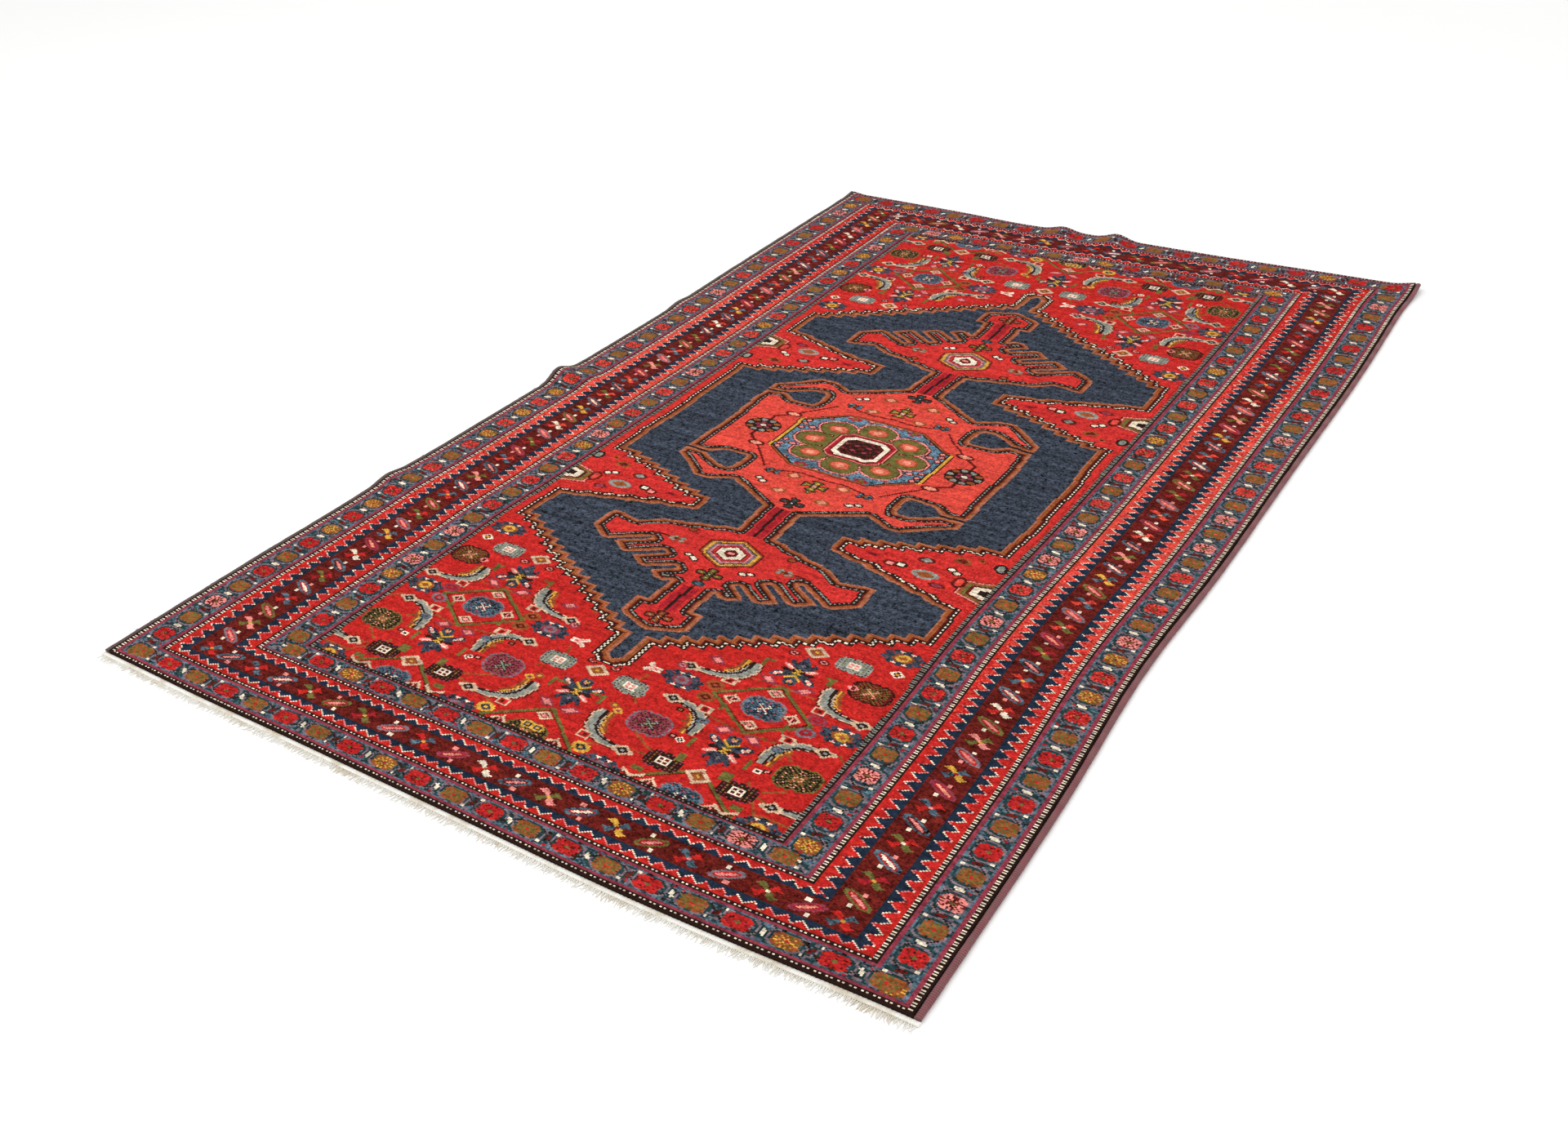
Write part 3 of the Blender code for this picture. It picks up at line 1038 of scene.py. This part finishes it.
def knotted_wool(name, colours, pile):
    """Hand-knotted wool: every knot in its own yarn, a little lighter or darker than its neighbour.

    It gives the eye a velvety pile in which single knots can be told apart, streaks along the rows
    where one dye lot ended. The back, the same knots seen from beneath, is greyer.

    The UV map counts knots. A face holds two by two of them, and carries their four yarn numbers as
    one number in base 32, so a knot's yarn is that number divided by 32 to the power of the knot's
    place, rounded down, modulo 32.
    """
    material, tree, shader = new_material(name)
    place = node(tree, "SeparateXYZ", inputs=(node(tree, "UVMap", {"uv_map": "knots"}),))
    column = node(tree, "Math", "FLOOR", (place.outputs[0],))
    row = node(tree, "Math", "FLOOR", (place.outputs[1],))
    odd_column = node(tree, "Math", "MODULO", (column, 2.0))
    odd_row = node(tree, "Math", "MODULO", (row, 2.0))
    digit = node(tree, "Math", "MULTIPLY_ADD", (odd_row, 2.0, odd_column))
    packed = node(tree, "Attribute", {"attribute_name": "yarns"}).outputs["Fac"]
    power = node(tree, "Math", "POWER", (float(BASE), digit))
    shifted = node(tree, "Math", "FLOOR", (node(tree, "Math", "DIVIDE", (packed, power)),))
    number = node(tree, "Math", "MODULO", (shifted, float(BASE)))
    share = node(tree, "Math", "DIVIDE", (node(tree, "Math", "ADD", (number, 0.5)), float(BASE)))
    # Two ramps of one flat step for each yarn number. A new ramp has two stops already.
    dyed = node(tree, "ValToRGB", inputs=(share,))
    uneven = node(tree, "ValToRGB", inputs=(share,))
    for ramp, values in (
        (dyed.color_ramp, [(*colour, 1) for colour in colours]),
        (uneven.color_ramp, [(UNEVEN.get(code, UNEVEN_ELSE),) * 3 + (1,) for code, _ in YARNS]),
    ):
        ramp.interpolation = "CONSTANT"
        for step, value in enumerate(values):
            stop = ramp.elements[step] if step < 2 else ramp.elements.new(step / BASE)
            stop.position = step / BASE
            stop.color = value
    # Chance is each knot's own, streaks run along the rows, and patches are a few knots wide.
    knot = node(tree, "CombineXYZ", inputs=(column, row))
    chance = node(tree, "TexWhiteNoise", {"noise_dimensions": "2D"}, {"Vector": knot})
    noises = []
    for scale_over, scale_along, detail, roughness in ((0.011, 0.19, 4.0, 0.62), (0.27, 0.24, 2.0, 0.6)):
        over = node(tree, "Math", "MULTIPLY", (column, scale_over))
        along = node(tree, "Math", "MULTIPLY", (row, scale_along))
        stretched = node(tree, "CombineXYZ", inputs=(over, along))
        noise = node(
            tree, "TexNoise", {"noise_dimensions": "2D"},
            {"Vector": stretched, "Scale": 1.0, "Detail": detail, "Roughness": roughness},
        )
        noises.append(noise.outputs["Fac"])
    streak, patch = noises
    # Each knot's own lightness with its patch's, and the dye's streaks, both more on an uneven yarn.
    rough = node(tree, "Math", "MULTIPLY_ADD", (uneven, 1.2, 0.1))
    mixed = node(tree, "Math", "MULTIPLY_ADD", (patch, 1.7, chance.outputs["Value"]))
    own = node(tree, "Math", "MULTIPLY_ADD", (node(tree, "Math", "SUBTRACT", (mixed, 1.35)), rough, 1.0))
    swing = node(tree, "Math", "SUBTRACT", (streak, 0.5))
    dye = node(tree, "Math", "MULTIPLY_ADD", (node(tree, "Math", "MULTIPLY", (swing, uneven)), 1.9, 1.0))
    lightness = node(tree, "Math", "MULTIPLY", (own, dye))
    toned = node(
        tree, "HueSaturation",
        inputs={"Saturation": 1.0 if pile else 0.8, "Value": lightness, "Color": dyed},
    )
    # Height: a dome on each knot, from the squared distance to its middle, and loose fibres.
    squares = []
    for output in place.outputs[:2]:
        off = node(tree, "Math", "SUBTRACT", (node(tree, "Math", "FRACT", (output,)), 0.5))
        squares.append(node(tree, "Math", "MULTIPLY", (off, off)))
    dome = node(tree, "Math", "ADD", squares)
    fibre = node(
        tree, "TexNoise", {"noise_dimensions": "3D"},
        {"Vector": node(tree, "TexCoord").outputs["Object"], "Scale": 420.0, "Detail": 3.0},
    )
    lumps = node(tree, "Math", "MULTIPLY_ADD", (fibre.outputs["Fac"], 0.9, own))
    height = node(tree, "Math", "MULTIPLY_ADD", (dome, -1.2, lumps))
    bump = node(tree, "Bump", inputs={"Strength": 0.55, "Distance": 0.0011, "Height": height})
    tree.links.new(toned.outputs[0], shader.inputs["Base Color"])
    tree.links.new(bump.outputs[0], shader.inputs["Normal"])
    shader.inputs["Roughness"].default_value = 0.92
    shader.inputs["IOR"].default_value = 1.54
    shader.inputs["Specular IOR Level"].default_value = 0.03
    return material


def overcast_wool(name, colour, second):
    """Wool wound round the edge warps, dusty and uneven in colour, with painted light and shade on its turns:
    each turn's top is painted lighter and the groove between turns darker.
    """
    material, tree, shader = new_material(name)
    place = node(tree, "TexCoord").outputs["Object"]
    blotch = node(tree, "TexNoise", inputs={"Vector": place, "Scale": 38.0, "Detail": 4.0, "Roughness": 0.7})
    turns = node(
        tree, "TexWave", {"bands_direction": "Y"},
        {"Vector": place, "Scale": 100.0, "Distortion": 1.4, "Detail": 2.0, "Detail Scale": 3.0},
    )
    mixed = node(
        tree, "Mix", {"data_type": "RGBA"},
        {"Factor": blotch.outputs["Fac"], "A": (*colour, 1), "B": (*second, 1)},
    )
    # Painted light and shade: the colour is lightened on each turn's top and darkened in the grooves between
    # turns.
    shade = node(tree, "Math", "MULTIPLY_ADD", (turns.outputs["Fac"], 0.5, 0.7))
    toned = node(tree, "HueSaturation", inputs={"Value": shade, "Color": mixed.outputs[2]})
    fibre = node(tree, "TexNoise", inputs={"Vector": place, "Scale": 900.0, "Detail": 2.0})
    height = node(tree, "Math", "MULTIPLY_ADD", (fibre.outputs["Fac"], 0.4, turns.outputs["Fac"]))
    bump = node(tree, "Bump", inputs={"Strength": 0.5, "Distance": 0.0008, "Height": height})
    tree.links.new(toned.outputs[0], shader.inputs["Base Color"])
    tree.links.new(bump.outputs[0], shader.inputs["Normal"])
    shader.inputs["Roughness"].default_value = 0.9
    shader.inputs["Sheen Weight"].default_value = 0.15
    return material


def undyed_cotton(name, colour, dirt, scale):
    """Undyed cotton, plain-woven or loose: off-white thread, soiled in patches, matt and softly lumpy."""
    material, tree, shader = new_material(name)
    place = node(tree, "TexCoord").outputs["Object"]
    soil = node(tree, "TexNoise", inputs={"Vector": place, "Scale": scale, "Detail": 4.0, "Roughness": 0.65})
    soiled = node(
        tree, "MapRange", inputs={"Value": soil.outputs["Fac"], "From Min": 0.45, "From Max": 0.72}
    )
    mixed = node(
        tree, "Mix", {"data_type": "RGBA"},
        {"Factor": soiled.outputs[0], "A": (*colour, 1), "B": (*dirt, 1)},
    )
    thread = node(
        tree, "TexWave", {"bands_direction": "X"},
        {"Vector": place, "Scale": 200.0, "Distortion": 2.0, "Detail": 2.0},
    )
    bump = node(tree, "Bump", inputs={"Strength": 0.4, "Distance": 0.0005, "Height": thread.outputs["Fac"]})
    tree.links.new(mixed.outputs[2], shader.inputs["Base Color"])
    tree.links.new(bump.outputs[0], shader.inputs["Normal"])
    shader.inputs["Roughness"].default_value = 0.88
    shader.inputs["Sheen Weight"].default_value = 0.1
    return material


# ---------------------------------------------------------------------------
# Pieces
# ---------------------------------------------------------------------------


# Where the pile's two pieces meet, in knots from its sides and ends: whole faces of the back.
SEAM_SIDE = 92
SEAM_END = 80
# Half the floor's width, in metres.
FLOOR_REACH = 9.0
# A square face's corners on a map, from the near left one round.
FACE_CORNERS = np.array([(0, 1), (1, 1), (1, 0), (0, 0)])


def pile_corners(wanted):
    """The faces of a pile piece, as numbers on a grid of points: tops, backs and edge walls.

    The top has a face for every two by two knots and the back one for every four by four. A wall
    face has two top points' spans over one of the back's, so the piece is closed.
    """
    cells_down, cells_over = wanted.shape
    top = np.arange((2 * cells_down + 1) * (2 * cells_over + 1)).reshape(2 * cells_down + 1, -1)
    back = top.size + np.arange((cells_down + 1) * (cells_over + 1)).reshape(cells_down + 1, -1)
    fine = np.kron(wanted, np.ones((2, 2), bool))
    down, over = np.nonzero(fine)
    place_top = np.stack((over, down), 1)
    tops = np.stack((top[down + 1, over], top[down + 1, over + 1], top[down, over + 1], top[down, over]), 1)
    down, over = np.nonzero(wanted)
    place_back = np.stack((over, down), 1)
    ahead, behind = (back[down, over], back[down, over + 1]), (back[down + 1, over + 1], back[down + 1, over])
    backs = np.stack(ahead + behind, 1)
    padded = np.pad(wanted, 1)
    walls = []
    for step_down, step_over in ((0, -1), (0, 1), (1, 0), (-1, 0)):
        beside = np.roll(padded, (-step_down, -step_over), (0, 1))[1:-1, 1:-1]
        down, over = np.nonzero(wanted & ~beside)
        if step_over:
            line = over + (step_over > 0)
            first, last = (down, down + 1) if step_over < 0 else (down + 1, down)
            ends = back[first, line], back[last, line]
            uppers = top[2 * last, 2 * line], top[2 * down + 1, 2 * line], top[2 * first, 2 * line]
        else:
            line = down + (step_down > 0)
            first, last = (over, over + 1) if step_down > 0 else (over + 1, over)
            ends = back[line, first], back[line, last]
            uppers = top[2 * line, 2 * last], top[2 * line, 2 * over + 1], top[2 * line, 2 * first]
        walls.append(np.stack(ends + uppers, 1))
    return top, back, tops, backs, np.concatenate(walls), place_top, place_back


def packed_yarns(chart):
    """Four knots' yarn numbers as one: each is multiplied by the base to the power of its place and added."""
    rows, columns = chart.shape
    blocks = chart.reshape(rows // 2, 2, columns // 2, 2).astype(np.int64)
    powers = (BASE ** np.arange(4)).reshape(1, 2, 1, 2)
    return (blocks * powers).sum(axis=(1, 3))


def face_map(place, size):
    """Places on the knot map of square faces, each a hair inside its own knots."""
    corner = FACE_CORNERS * (size - 0.02) + 0.01
    return (place[:, None, :] * size + corner).reshape(-1, 2)


def grid_of_points(sizes, numbers, step, height):
    """Points of the rug as it lies, for a grid that has one every so many knots."""
    over, down = np.meshgrid(np.arange(numbers.shape[1]) * step, np.arange(numbers.shape[0]) * step)
    pitch = sizes.pile_width / COLUMNS
    return laid(sizes, (over - COLUMNS / 2) * pitch, row_place(sizes, down), height).reshape(-1, 3)


def build_pile(name, sizes, chart, wanted, materials):
    """A closed piece of knotted pile: two grids over its knots' places, a pile's thickness apart."""
    top, back, tops, backs, walls, place_top, place_back = pile_corners(wanted)
    points = np.concatenate(
        (grid_of_points(sizes, top, 2, sizes.thickness), grid_of_points(sizes, back, 4, 0.0))
    )
    used = np.zeros(len(points), bool)
    for group in (tops, backs, walls):
        used[group.ravel()] = True
    renumber = np.cumsum(used) - 1
    faces = [renumber[group] for group in (tops, backs, walls)]
    counts = [len(group) for group in faces]
    slots = np.repeat((0, 1, 0), counts)
    mesh = mesh_from(name, points[used], faces, slots, np.repeat((True, True, False), counts))
    wall_corners = np.full((5 * len(walls), 2), 0.5)
    put_map(mesh, "knots", np.concatenate((face_map(place_top, 2), face_map(place_back, 2), wall_corners)))
    put_map(mesh, "OFBake", bake_places(wanted, place_top, place_back, len(walls)))
    yarns = mesh.attributes.new("yarns", "FLOAT", "FACE")
    black = np.full((2, 2), NUMBER["k"])
    values = np.concatenate(
        (
            packed_yarns(chart)[place_top[:, 1], place_top[:, 0]],
            packed_yarns(chart[::2, ::2])[place_back[:, 1], place_back[:, 0]],
            np.full(len(walls), packed_yarns(black)[0, 0]),
        )
    )
    yarns.data.foreach_set("value", values.astype(np.float32))
    return add_piece(name, mesh, materials, ["knotted_pile"])


def border_shares(spots, middle, cells):
    """Where points of the border lie on the flat layout, as shares of its width and height.

    The border is cut into its two sides and its two ends, and the ends are turned to stand beside
    the sides. A face belongs to the side or end that its middle is in.
    """
    side = SEAM_SIDE / COLUMNS * cells[0]
    end = SEAM_END / ROWS * cells[1]
    over, along = spots[..., 0], spots[..., 1]
    on_left, on_right = middle[:, :1] < side, middle[:, :1] > cells[0] - side
    on_far = middle[:, 1:] < end
    turned = 0.49 * (over - side) / (cells[0] - 2 * side)
    strips = (over / side * 0.36, 0.37 + (over - cells[0] + side) / side * 0.36, 0.75 + along / end * 0.25)
    near_strip = 0.75 + (along - cells[1] + end) / end * 0.25
    shares_x = np.select((on_left, on_right, on_far), strips, near_strip)
    shares_y = np.select((on_left | on_right, on_far), (along / cells[1], turned), 0.51 + turned)
    return np.stack((shares_x, shares_y), -1)


def bake_places(wanted, place_top, place_back, walls):
    """The flat layout that the colours are baked on.

    The top takes most of the square, the back a narrow strip and the walls a line at its edge. The
    field's top and back are an oblong each.
    """
    is_field = wanted[wanted.shape[0] // 2, wanted.shape[1] // 2]
    cells = np.array(wanted.shape[::-1])
    layouts = []
    for place, count, left, width in ((place_top, 2 * cells, 0.0, 0.79), (place_back, cells, 0.80, 0.19)):
        spots = (place[:, None, :] + FACE_CORNERS).astype(float)
        if is_field:
            low, high = place.min(axis=0), place.max(axis=0) + 1
            shares = (spots - low) / (high - low)
        else:
            shares = border_shares(spots, place + 0.5, count)
        layouts.append(np.stack((left + width * shares[..., 0], 1 - shares[..., 1]), -1).reshape(-1, 2))
    strip = np.array([(0.993, 0), (0.999, 0), (0.999, 0.5), (0.999, 1), (0.993, 1)])
    spread = np.repeat(strip[None], walls, axis=0)
    spread[..., 1] = (np.arange(walls)[:, None] + spread[..., 1]) / max(walls, 1)
    layouts.append(spread.reshape(-1, 2))
    return np.concatenate(layouts)


def metres(name, description, default):
    """A length property, in metres."""
    return bpy.props.FloatProperty(name=name, description=description, default=default, unit="LENGTH")


class RugSizes(bpy.types.PropertyGroup):
    """The rug's sizes, as the CAD model has them."""

    pile_width: metres("Pile width", "Width of the knotted pile", 1.284)
    pile_length: metres("Pile length", "Length of the knotted pile", 2.110)
    thickness: metres("Thickness", "From the back to the top of the pile", 0.0065)
    selvedge_width: metres("Selvedge width", "Width of an overcast edge", 0.0095)
    selvedge_height: metres("Selvedge height", "Height of an overcast edge", 0.0065)
    web_length: metres("Web length", "How far the flat-woven cotton reaches past the pile", 0.0070)
    web_thickness: metres("Web thickness", "Thickness of the flat-woven cotton", 0.0022)
    near_fringe: metres("Near fringe", "Longest warp ends at the near end", 0.0125)
    far_fringe: metres("Far fringe", "Longest worn ends at the far end", 0.0090)


def yarn_colour(name, colour):
    """A colour property whose default is a hex value."""
    return bpy.props.FloatVectorProperty(
        name=name.capitalize(),
        description="Colour of the " + name + " yarn",
        subtype="COLOR",
        size=3,
        min=0,
        max=1,
        default=linear(colour),
    )


class RugColours(bpy.types.PropertyGroup):
    """The yarns' colours."""

    madder_red: yarn_colour("madder red", "B62521")
    indigo_navy: yarn_colour("indigo navy", "363C47")
    black_brown: yarn_colour("black brown", "2A1A16")
    ivory: yarn_colour("ivory", "E2D3BB")
    maroon: yarn_colour("maroon", "5E1B16")
    rust: yarn_colour("rust", "904C28")
    olive: yarn_colour("olive", "655F30")
    gold: yarn_colour("gold", "CC9A3E")
    pink: yarn_colour("pink", "DD837B")
    blue_grey: yarn_colour("blue grey", "465B66")
    light_blue: yarn_colour("light blue", "587486")
    mauve: yarn_colour("mauve", "893644")
    dark_teal: yarn_colour("dark teal", "233A3C")
    grey_mauve: yarn_colour("grey mauve", "77676E")
    crimson: yarn_colour("crimson", "9C2028")
    midnight_blue: yarn_colour("midnight blue", "1E2A3A")
    salmon: yarn_colour("salmon", "E28E76")
    silver_grey: yarn_colour("silver grey", "86887F")
    coral: yarn_colour("coral", "D0604C")
    scarlet: yarn_colour("scarlet", "D0463A")
    rose_madder: yarn_colour("rose madder", "C2302C")
    tan: yarn_colour("tan", "A26046")
    cream: yarn_colour("cream", "C8A98C")
    overcast_dark: yarn_colour("dark overcasting", "2C211D")
    overcast_mauve: yarn_colour("mauve overcasting", "6E5550")
    cotton: yarn_colour("undyed cotton", "F3F0E8")


def yarn_colours(colours):
    """The knots' colours in the order of the yarn numbers."""
    return [tuple(getattr(colours, name.replace(" ", "_"))) for code, name in YARNS]


class RUG_OT_pile(bpy.types.Operator):
    """Knots the pile: the field, and the border round it."""

    bl_idname = "rug.pile"
    bl_label = "Knotted Pile"

    def execute(self, context):
        sizes = context.scene.rug_sizes
        colours = yarn_colours(context.scene.rug_colours)
        materials = [
            knotted_wool("hand_knotted_wool", colours, True),
            knotted_wool("knotted_wool_back", colours, False),
        ]
        chart = knot_chart()
        field = np.zeros((ROWS // 4, COLUMNS // 4), bool)
        field[SEAM_END // 4 : -SEAM_END // 4, SEAM_SIDE // 4 : -SEAM_SIDE // 4] = True
        field_piece = build_pile("pile_field", sizes, chart, field, materials)
        border_piece = build_pile("pile_border", sizes, chart, ~field, materials)
        return {"FINISHED"}


def loose_hairs(sizes, rng, count):
    """Worn overcasting on the left edge: short hairs in tufts, straight out, drooping on a squared curve."""
    tuft = rng.uniform(-0.5, 0.5, 60)[rng.integers(0, 60, count)]
    start = (tuft + rng.normal(0, 0.006, count)).clip(-0.498, 0.498) * sizes.pile_length
    length = 0.0085 * rng.uniform(0.25, 1.0, count) ** 1.5
    station = np.linspace(0, 1, 5)
    root = sizes.pile_width / 2 + GAP + sizes.selvedge_width * 0.8
    x = -root - station * length[:, None]
    y = start[:, None] + rng.normal(0, 0.7, count)[:, None] * station**1.5 * length[:, None]
    thick = 0.0005 * rng.uniform(0.7, 1.2, count)[:, None] * (1 - 0.5 * station**2)
    z = thick + 0.0042 * rng.uniform(0.3, 1.0, count)[:, None] * (1 - station**2)
    return laid(sizes, x, y, z), thick, thick


class RUG_OT_selvedges(bpy.types.Operator):
    """Overcasts both sides: an oval cord along each, swelling on every turn of the yarn, and worn hairs."""

    bl_idname = "rug.selvedges"
    bl_label = "Overcast Selvedges"

    def execute(self, context):
        sizes = context.scene.rug_sizes
        colours = context.scene.rug_colours
        rng = np.random.default_rng(21)
        for side, name, colour, second in (
            (-1, "selvedge_left", colours.overcast_dark, colours.overcast_mauve),
            (1, "selvedge_right", colours.overcast_mauve, colours.mauve),
        ):
            stations = 2400
            along = np.linspace(-0.5, 0.5, stations) * sizes.pile_length
            turn = np.abs(np.cos(np.pi * along / 0.0034))
            lump = np.convolve(rng.normal(size=stations + 40), np.ones(41) / 41, "valid") * 0.9
            swell = 0.90 + 0.10 * turn + 0.22 * lump
            middle = side * (sizes.pile_width / 2 + GAP + sizes.selvedge_width / 2)
            wide = np.clip(swell, 0.7, 1.12) * sizes.selvedge_width / 2
            tall = np.clip(swell, 0.7, 1.05) * sizes.selvedge_height / 2
            centres = laid(sizes, np.full(stations, middle), along, tall)
            material = overcast_wool(name + "_wool", tuple(colour), tuple(second))
            slot = "dark_selvedge" if side < 0 else "mauve_selvedge"
            tube_piece(name + "_cord", material, name, slot, centres[None], wide[None], tall[None], 12)
            if side < 0:
                hairs = loose_hairs(sizes, rng, 420)
                tube_piece(name + "_hairs", material, name, slot, *hairs, 5, along_y=False)
        return {"FINISHED"}


class RUG_OT_web(bpy.types.Operator):
    """Weaves the narrow cotton band beyond the near end's last row of knots."""

    bl_idname = "rug.web"
    bl_label = "Cotton Web"

    def execute(self, context):
        sizes = context.scene.rug_sizes
        colours = context.scene.rug_colours
        stations = 900
        over = np.linspace(-0.5, 0.5, stations) * end_width(sizes)
        y = -sizes.pile_length / 2 - GAP - sizes.web_length / 2
        ridge = 1 + 0.16 * np.cos(2 * np.pi * over / 0.0056)
        wide = np.full(stations, sizes.web_length / 2)
        tall = sizes.web_thickness / 2 * ridge
        centres = laid(sizes, over, np.full(stations, y), tall)
        material = undyed_cotton("plain_woven_cotton", tuple(colours.cotton), linear("C9B89A"), 30.0)
        ribbon = (centres[None], wide[None], tall[None])
        tube_piece("cotton_web_band", material, "cotton_web", "cotton_web", *ribbon, 12, along_y=False)
        return {"FINISHED"}


def loose_ends(sizes, rng, count, root, direction, longest, height, thickness, spread):
    """Short loose yarns: paths that leave the edge, bend sideways on a power curve and sink to the floor."""
    start = (np.arange(count) + 0.5 + rng.uniform(-0.45, 0.45, count)) / count - 0.5
    start = start * (end_width(sizes) - 0.006)
    length = longest * rng.uniform(0.35, 1.0, count) ** 1.2
    lean = rng.normal(0, spread, count)
    station = np.linspace(0, 1, 6)
    x = start[:, None] + lean[:, None] * station**1.6 * length[:, None]
    y = root + direction * station * length[:, None]
    thick = thickness * rng.uniform(0.7, 1.2, count)[:, None] * (1 - 0.45 * station**2)
    z = thick + (height - thick) * (1 - station) ** 1.5 * rng.uniform(0.5, 1, count)[:, None]
    return laid(sizes, x, y, z), thick


class RUG_OT_fringes(bpy.types.Operator):
    """Leaves the warps' cut ends: a ragged cotton fringe at the near end and worn hairs at the far one."""

    bl_idname = "rug.fringes"
    bl_label = "Fringes"

    def execute(self, context):
        sizes = context.scene.rug_sizes
        colours = context.scene.rug_colours
        cotton = undyed_cotton("loose_cotton_warp", tuple(colours.cotton), linear("D2C2A4"), 16.0)
        worn = undyed_cotton("worn_wool_and_cotton", linear("8A7268"), linear("4C3A36"), 24.0)
        # Of each fringe: root, way, longest end, height at the root, half thickness and sideways spread.
        near = (-sizes.pile_length / 2 - sizes.web_length, -1, sizes.near_fringe, 0.0018, 0.0006, 0.30)
        far = (sizes.pile_length / 2, 1, sizes.far_fringe, 0.0045, 0.0005, 0.5)
        for name, stands_for, slot, material, seed, count, ends in (
            ("warp_fringe_near", "fringe_near", "cotton_fringe", cotton, 31, 900, near),
            ("worn_fringe_far", "fringe_far", "worn_fringe", worn, 32, 700, far),
        ):
            rng = np.random.default_rng(seed)
            centres, radius = loose_ends(sizes, rng, count, *ends)
            # Both fringes' paths are turned to run towards the near end, so that their faces agree.
            centres, radius = centres[:, :: -ends[1]], radius[:, :: -ends[1]]
            tube_piece(name, material, stands_for, slot, centres, radius, radius, 5)
        return {"FINISHED"}


class RUG_OT_stage(bpy.types.Operator):
    """Sets the plain pale floor, the soft lights and the camera."""

    bl_idname = "rug.stage"
    bl_label = "Stage"

    def execute(self, context):
        scene = context.scene
        corners = np.array([(-1, -1, 0), (1, -1, 0), (1, 1, 0), (-1, 1, 0)]) * FLOOR_REACH
        mesh = mesh_from("rug_floor", corners, [np.array([[0, 1, 2, 3]])], smooth=False)
        floor = bpy.data.objects.new("rug_floor", mesh)
        scene.collection.objects.link(floor)
        material, _, shader = new_material("pale_studio_floor")
        shader.inputs["Base Color"].default_value = (*linear("F7F7F6"), 1)
        shader.inputs["Roughness"].default_value = 0.9
        mesh.materials.append(material)
        world = bpy.data.worlds.new("studio_light")
        scene.world = world
        world.use_nodes = True
        world.node_tree.nodes["Background"].inputs["Color"].default_value = (1, 1, 1, 1)
        world.node_tree.nodes["Background"].inputs["Strength"].default_value = 1.0
        light = bpy.data.lights.new("soft_overhead", "AREA")
        light.shape = "DISK"
        light.size = 3.0
        light.energy = 36
        lamp = bpy.data.objects.new("soft_overhead", light)
        lamp.location = (-1.5, -0.3, 3.2)
        lamp.rotation_euler = (0.09, -0.44, 0)
        scene.collection.objects.link(lamp)
        lens = bpy.data.cameras.new("view")
        lens.lens = 34.06
        lens.sensor_width = 36
        camera = bpy.data.objects.new("view", lens)
        camera.location = (1.1159, -1.9329, 1.2183)
        camera.rotation_euler = np.radians((56.856, 2.534, 32.367))
        scene.collection.objects.link(camera)
        scene.camera = camera
        scene.view_settings.view_transform = "Standard"
        return {"FINISHED"}


class RUG_PT_panel(bpy.types.Panel):
    """Lists the rug's pieces, sizes and colours."""

    bl_idname = "RUG_PT_panel"
    bl_label = "Persian Rug"
    bl_space_type = "VIEW_3D"
    bl_region_type = "UI"
    bl_category = "Rug"

    def draw(self, context):
        layout = self.layout
        for operator in OPERATORS:
            layout.operator(operator.bl_idname)
        for group in (context.scene.rug_sizes, context.scene.rug_colours):
            box = layout.box()
            for name in group.__annotations__:
                box.prop(group, name)


OPERATORS = (RUG_OT_stage, RUG_OT_selvedges, RUG_OT_web, RUG_OT_fringes, RUG_OT_pile)
CLASSES = (RugSizes, RugColours) + OPERATORS + (RUG_PT_panel,)


def register():
    """Adds the classes and the two groups of settings."""
    for cls in CLASSES:
        bpy.utils.register_class(cls)
    bpy.types.Scene.rug_sizes = bpy.props.PointerProperty(type=RugSizes)
    bpy.types.Scene.rug_colours = bpy.props.PointerProperty(type=RugColours)


def unregister():
    """Takes them away again."""
    del bpy.types.Scene.rug_colours
    del bpy.types.Scene.rug_sizes
    for cls in reversed(CLASSES):
        bpy.utils.unregister_class(cls)


def main():
    register()
    bpy.ops.rug.stage()
    bpy.ops.rug.selvedges()
    bpy.ops.rug.web()
    bpy.ops.rug.fringes()
    bpy.ops.rug.pile()


if __name__ == "__main__":
    main()
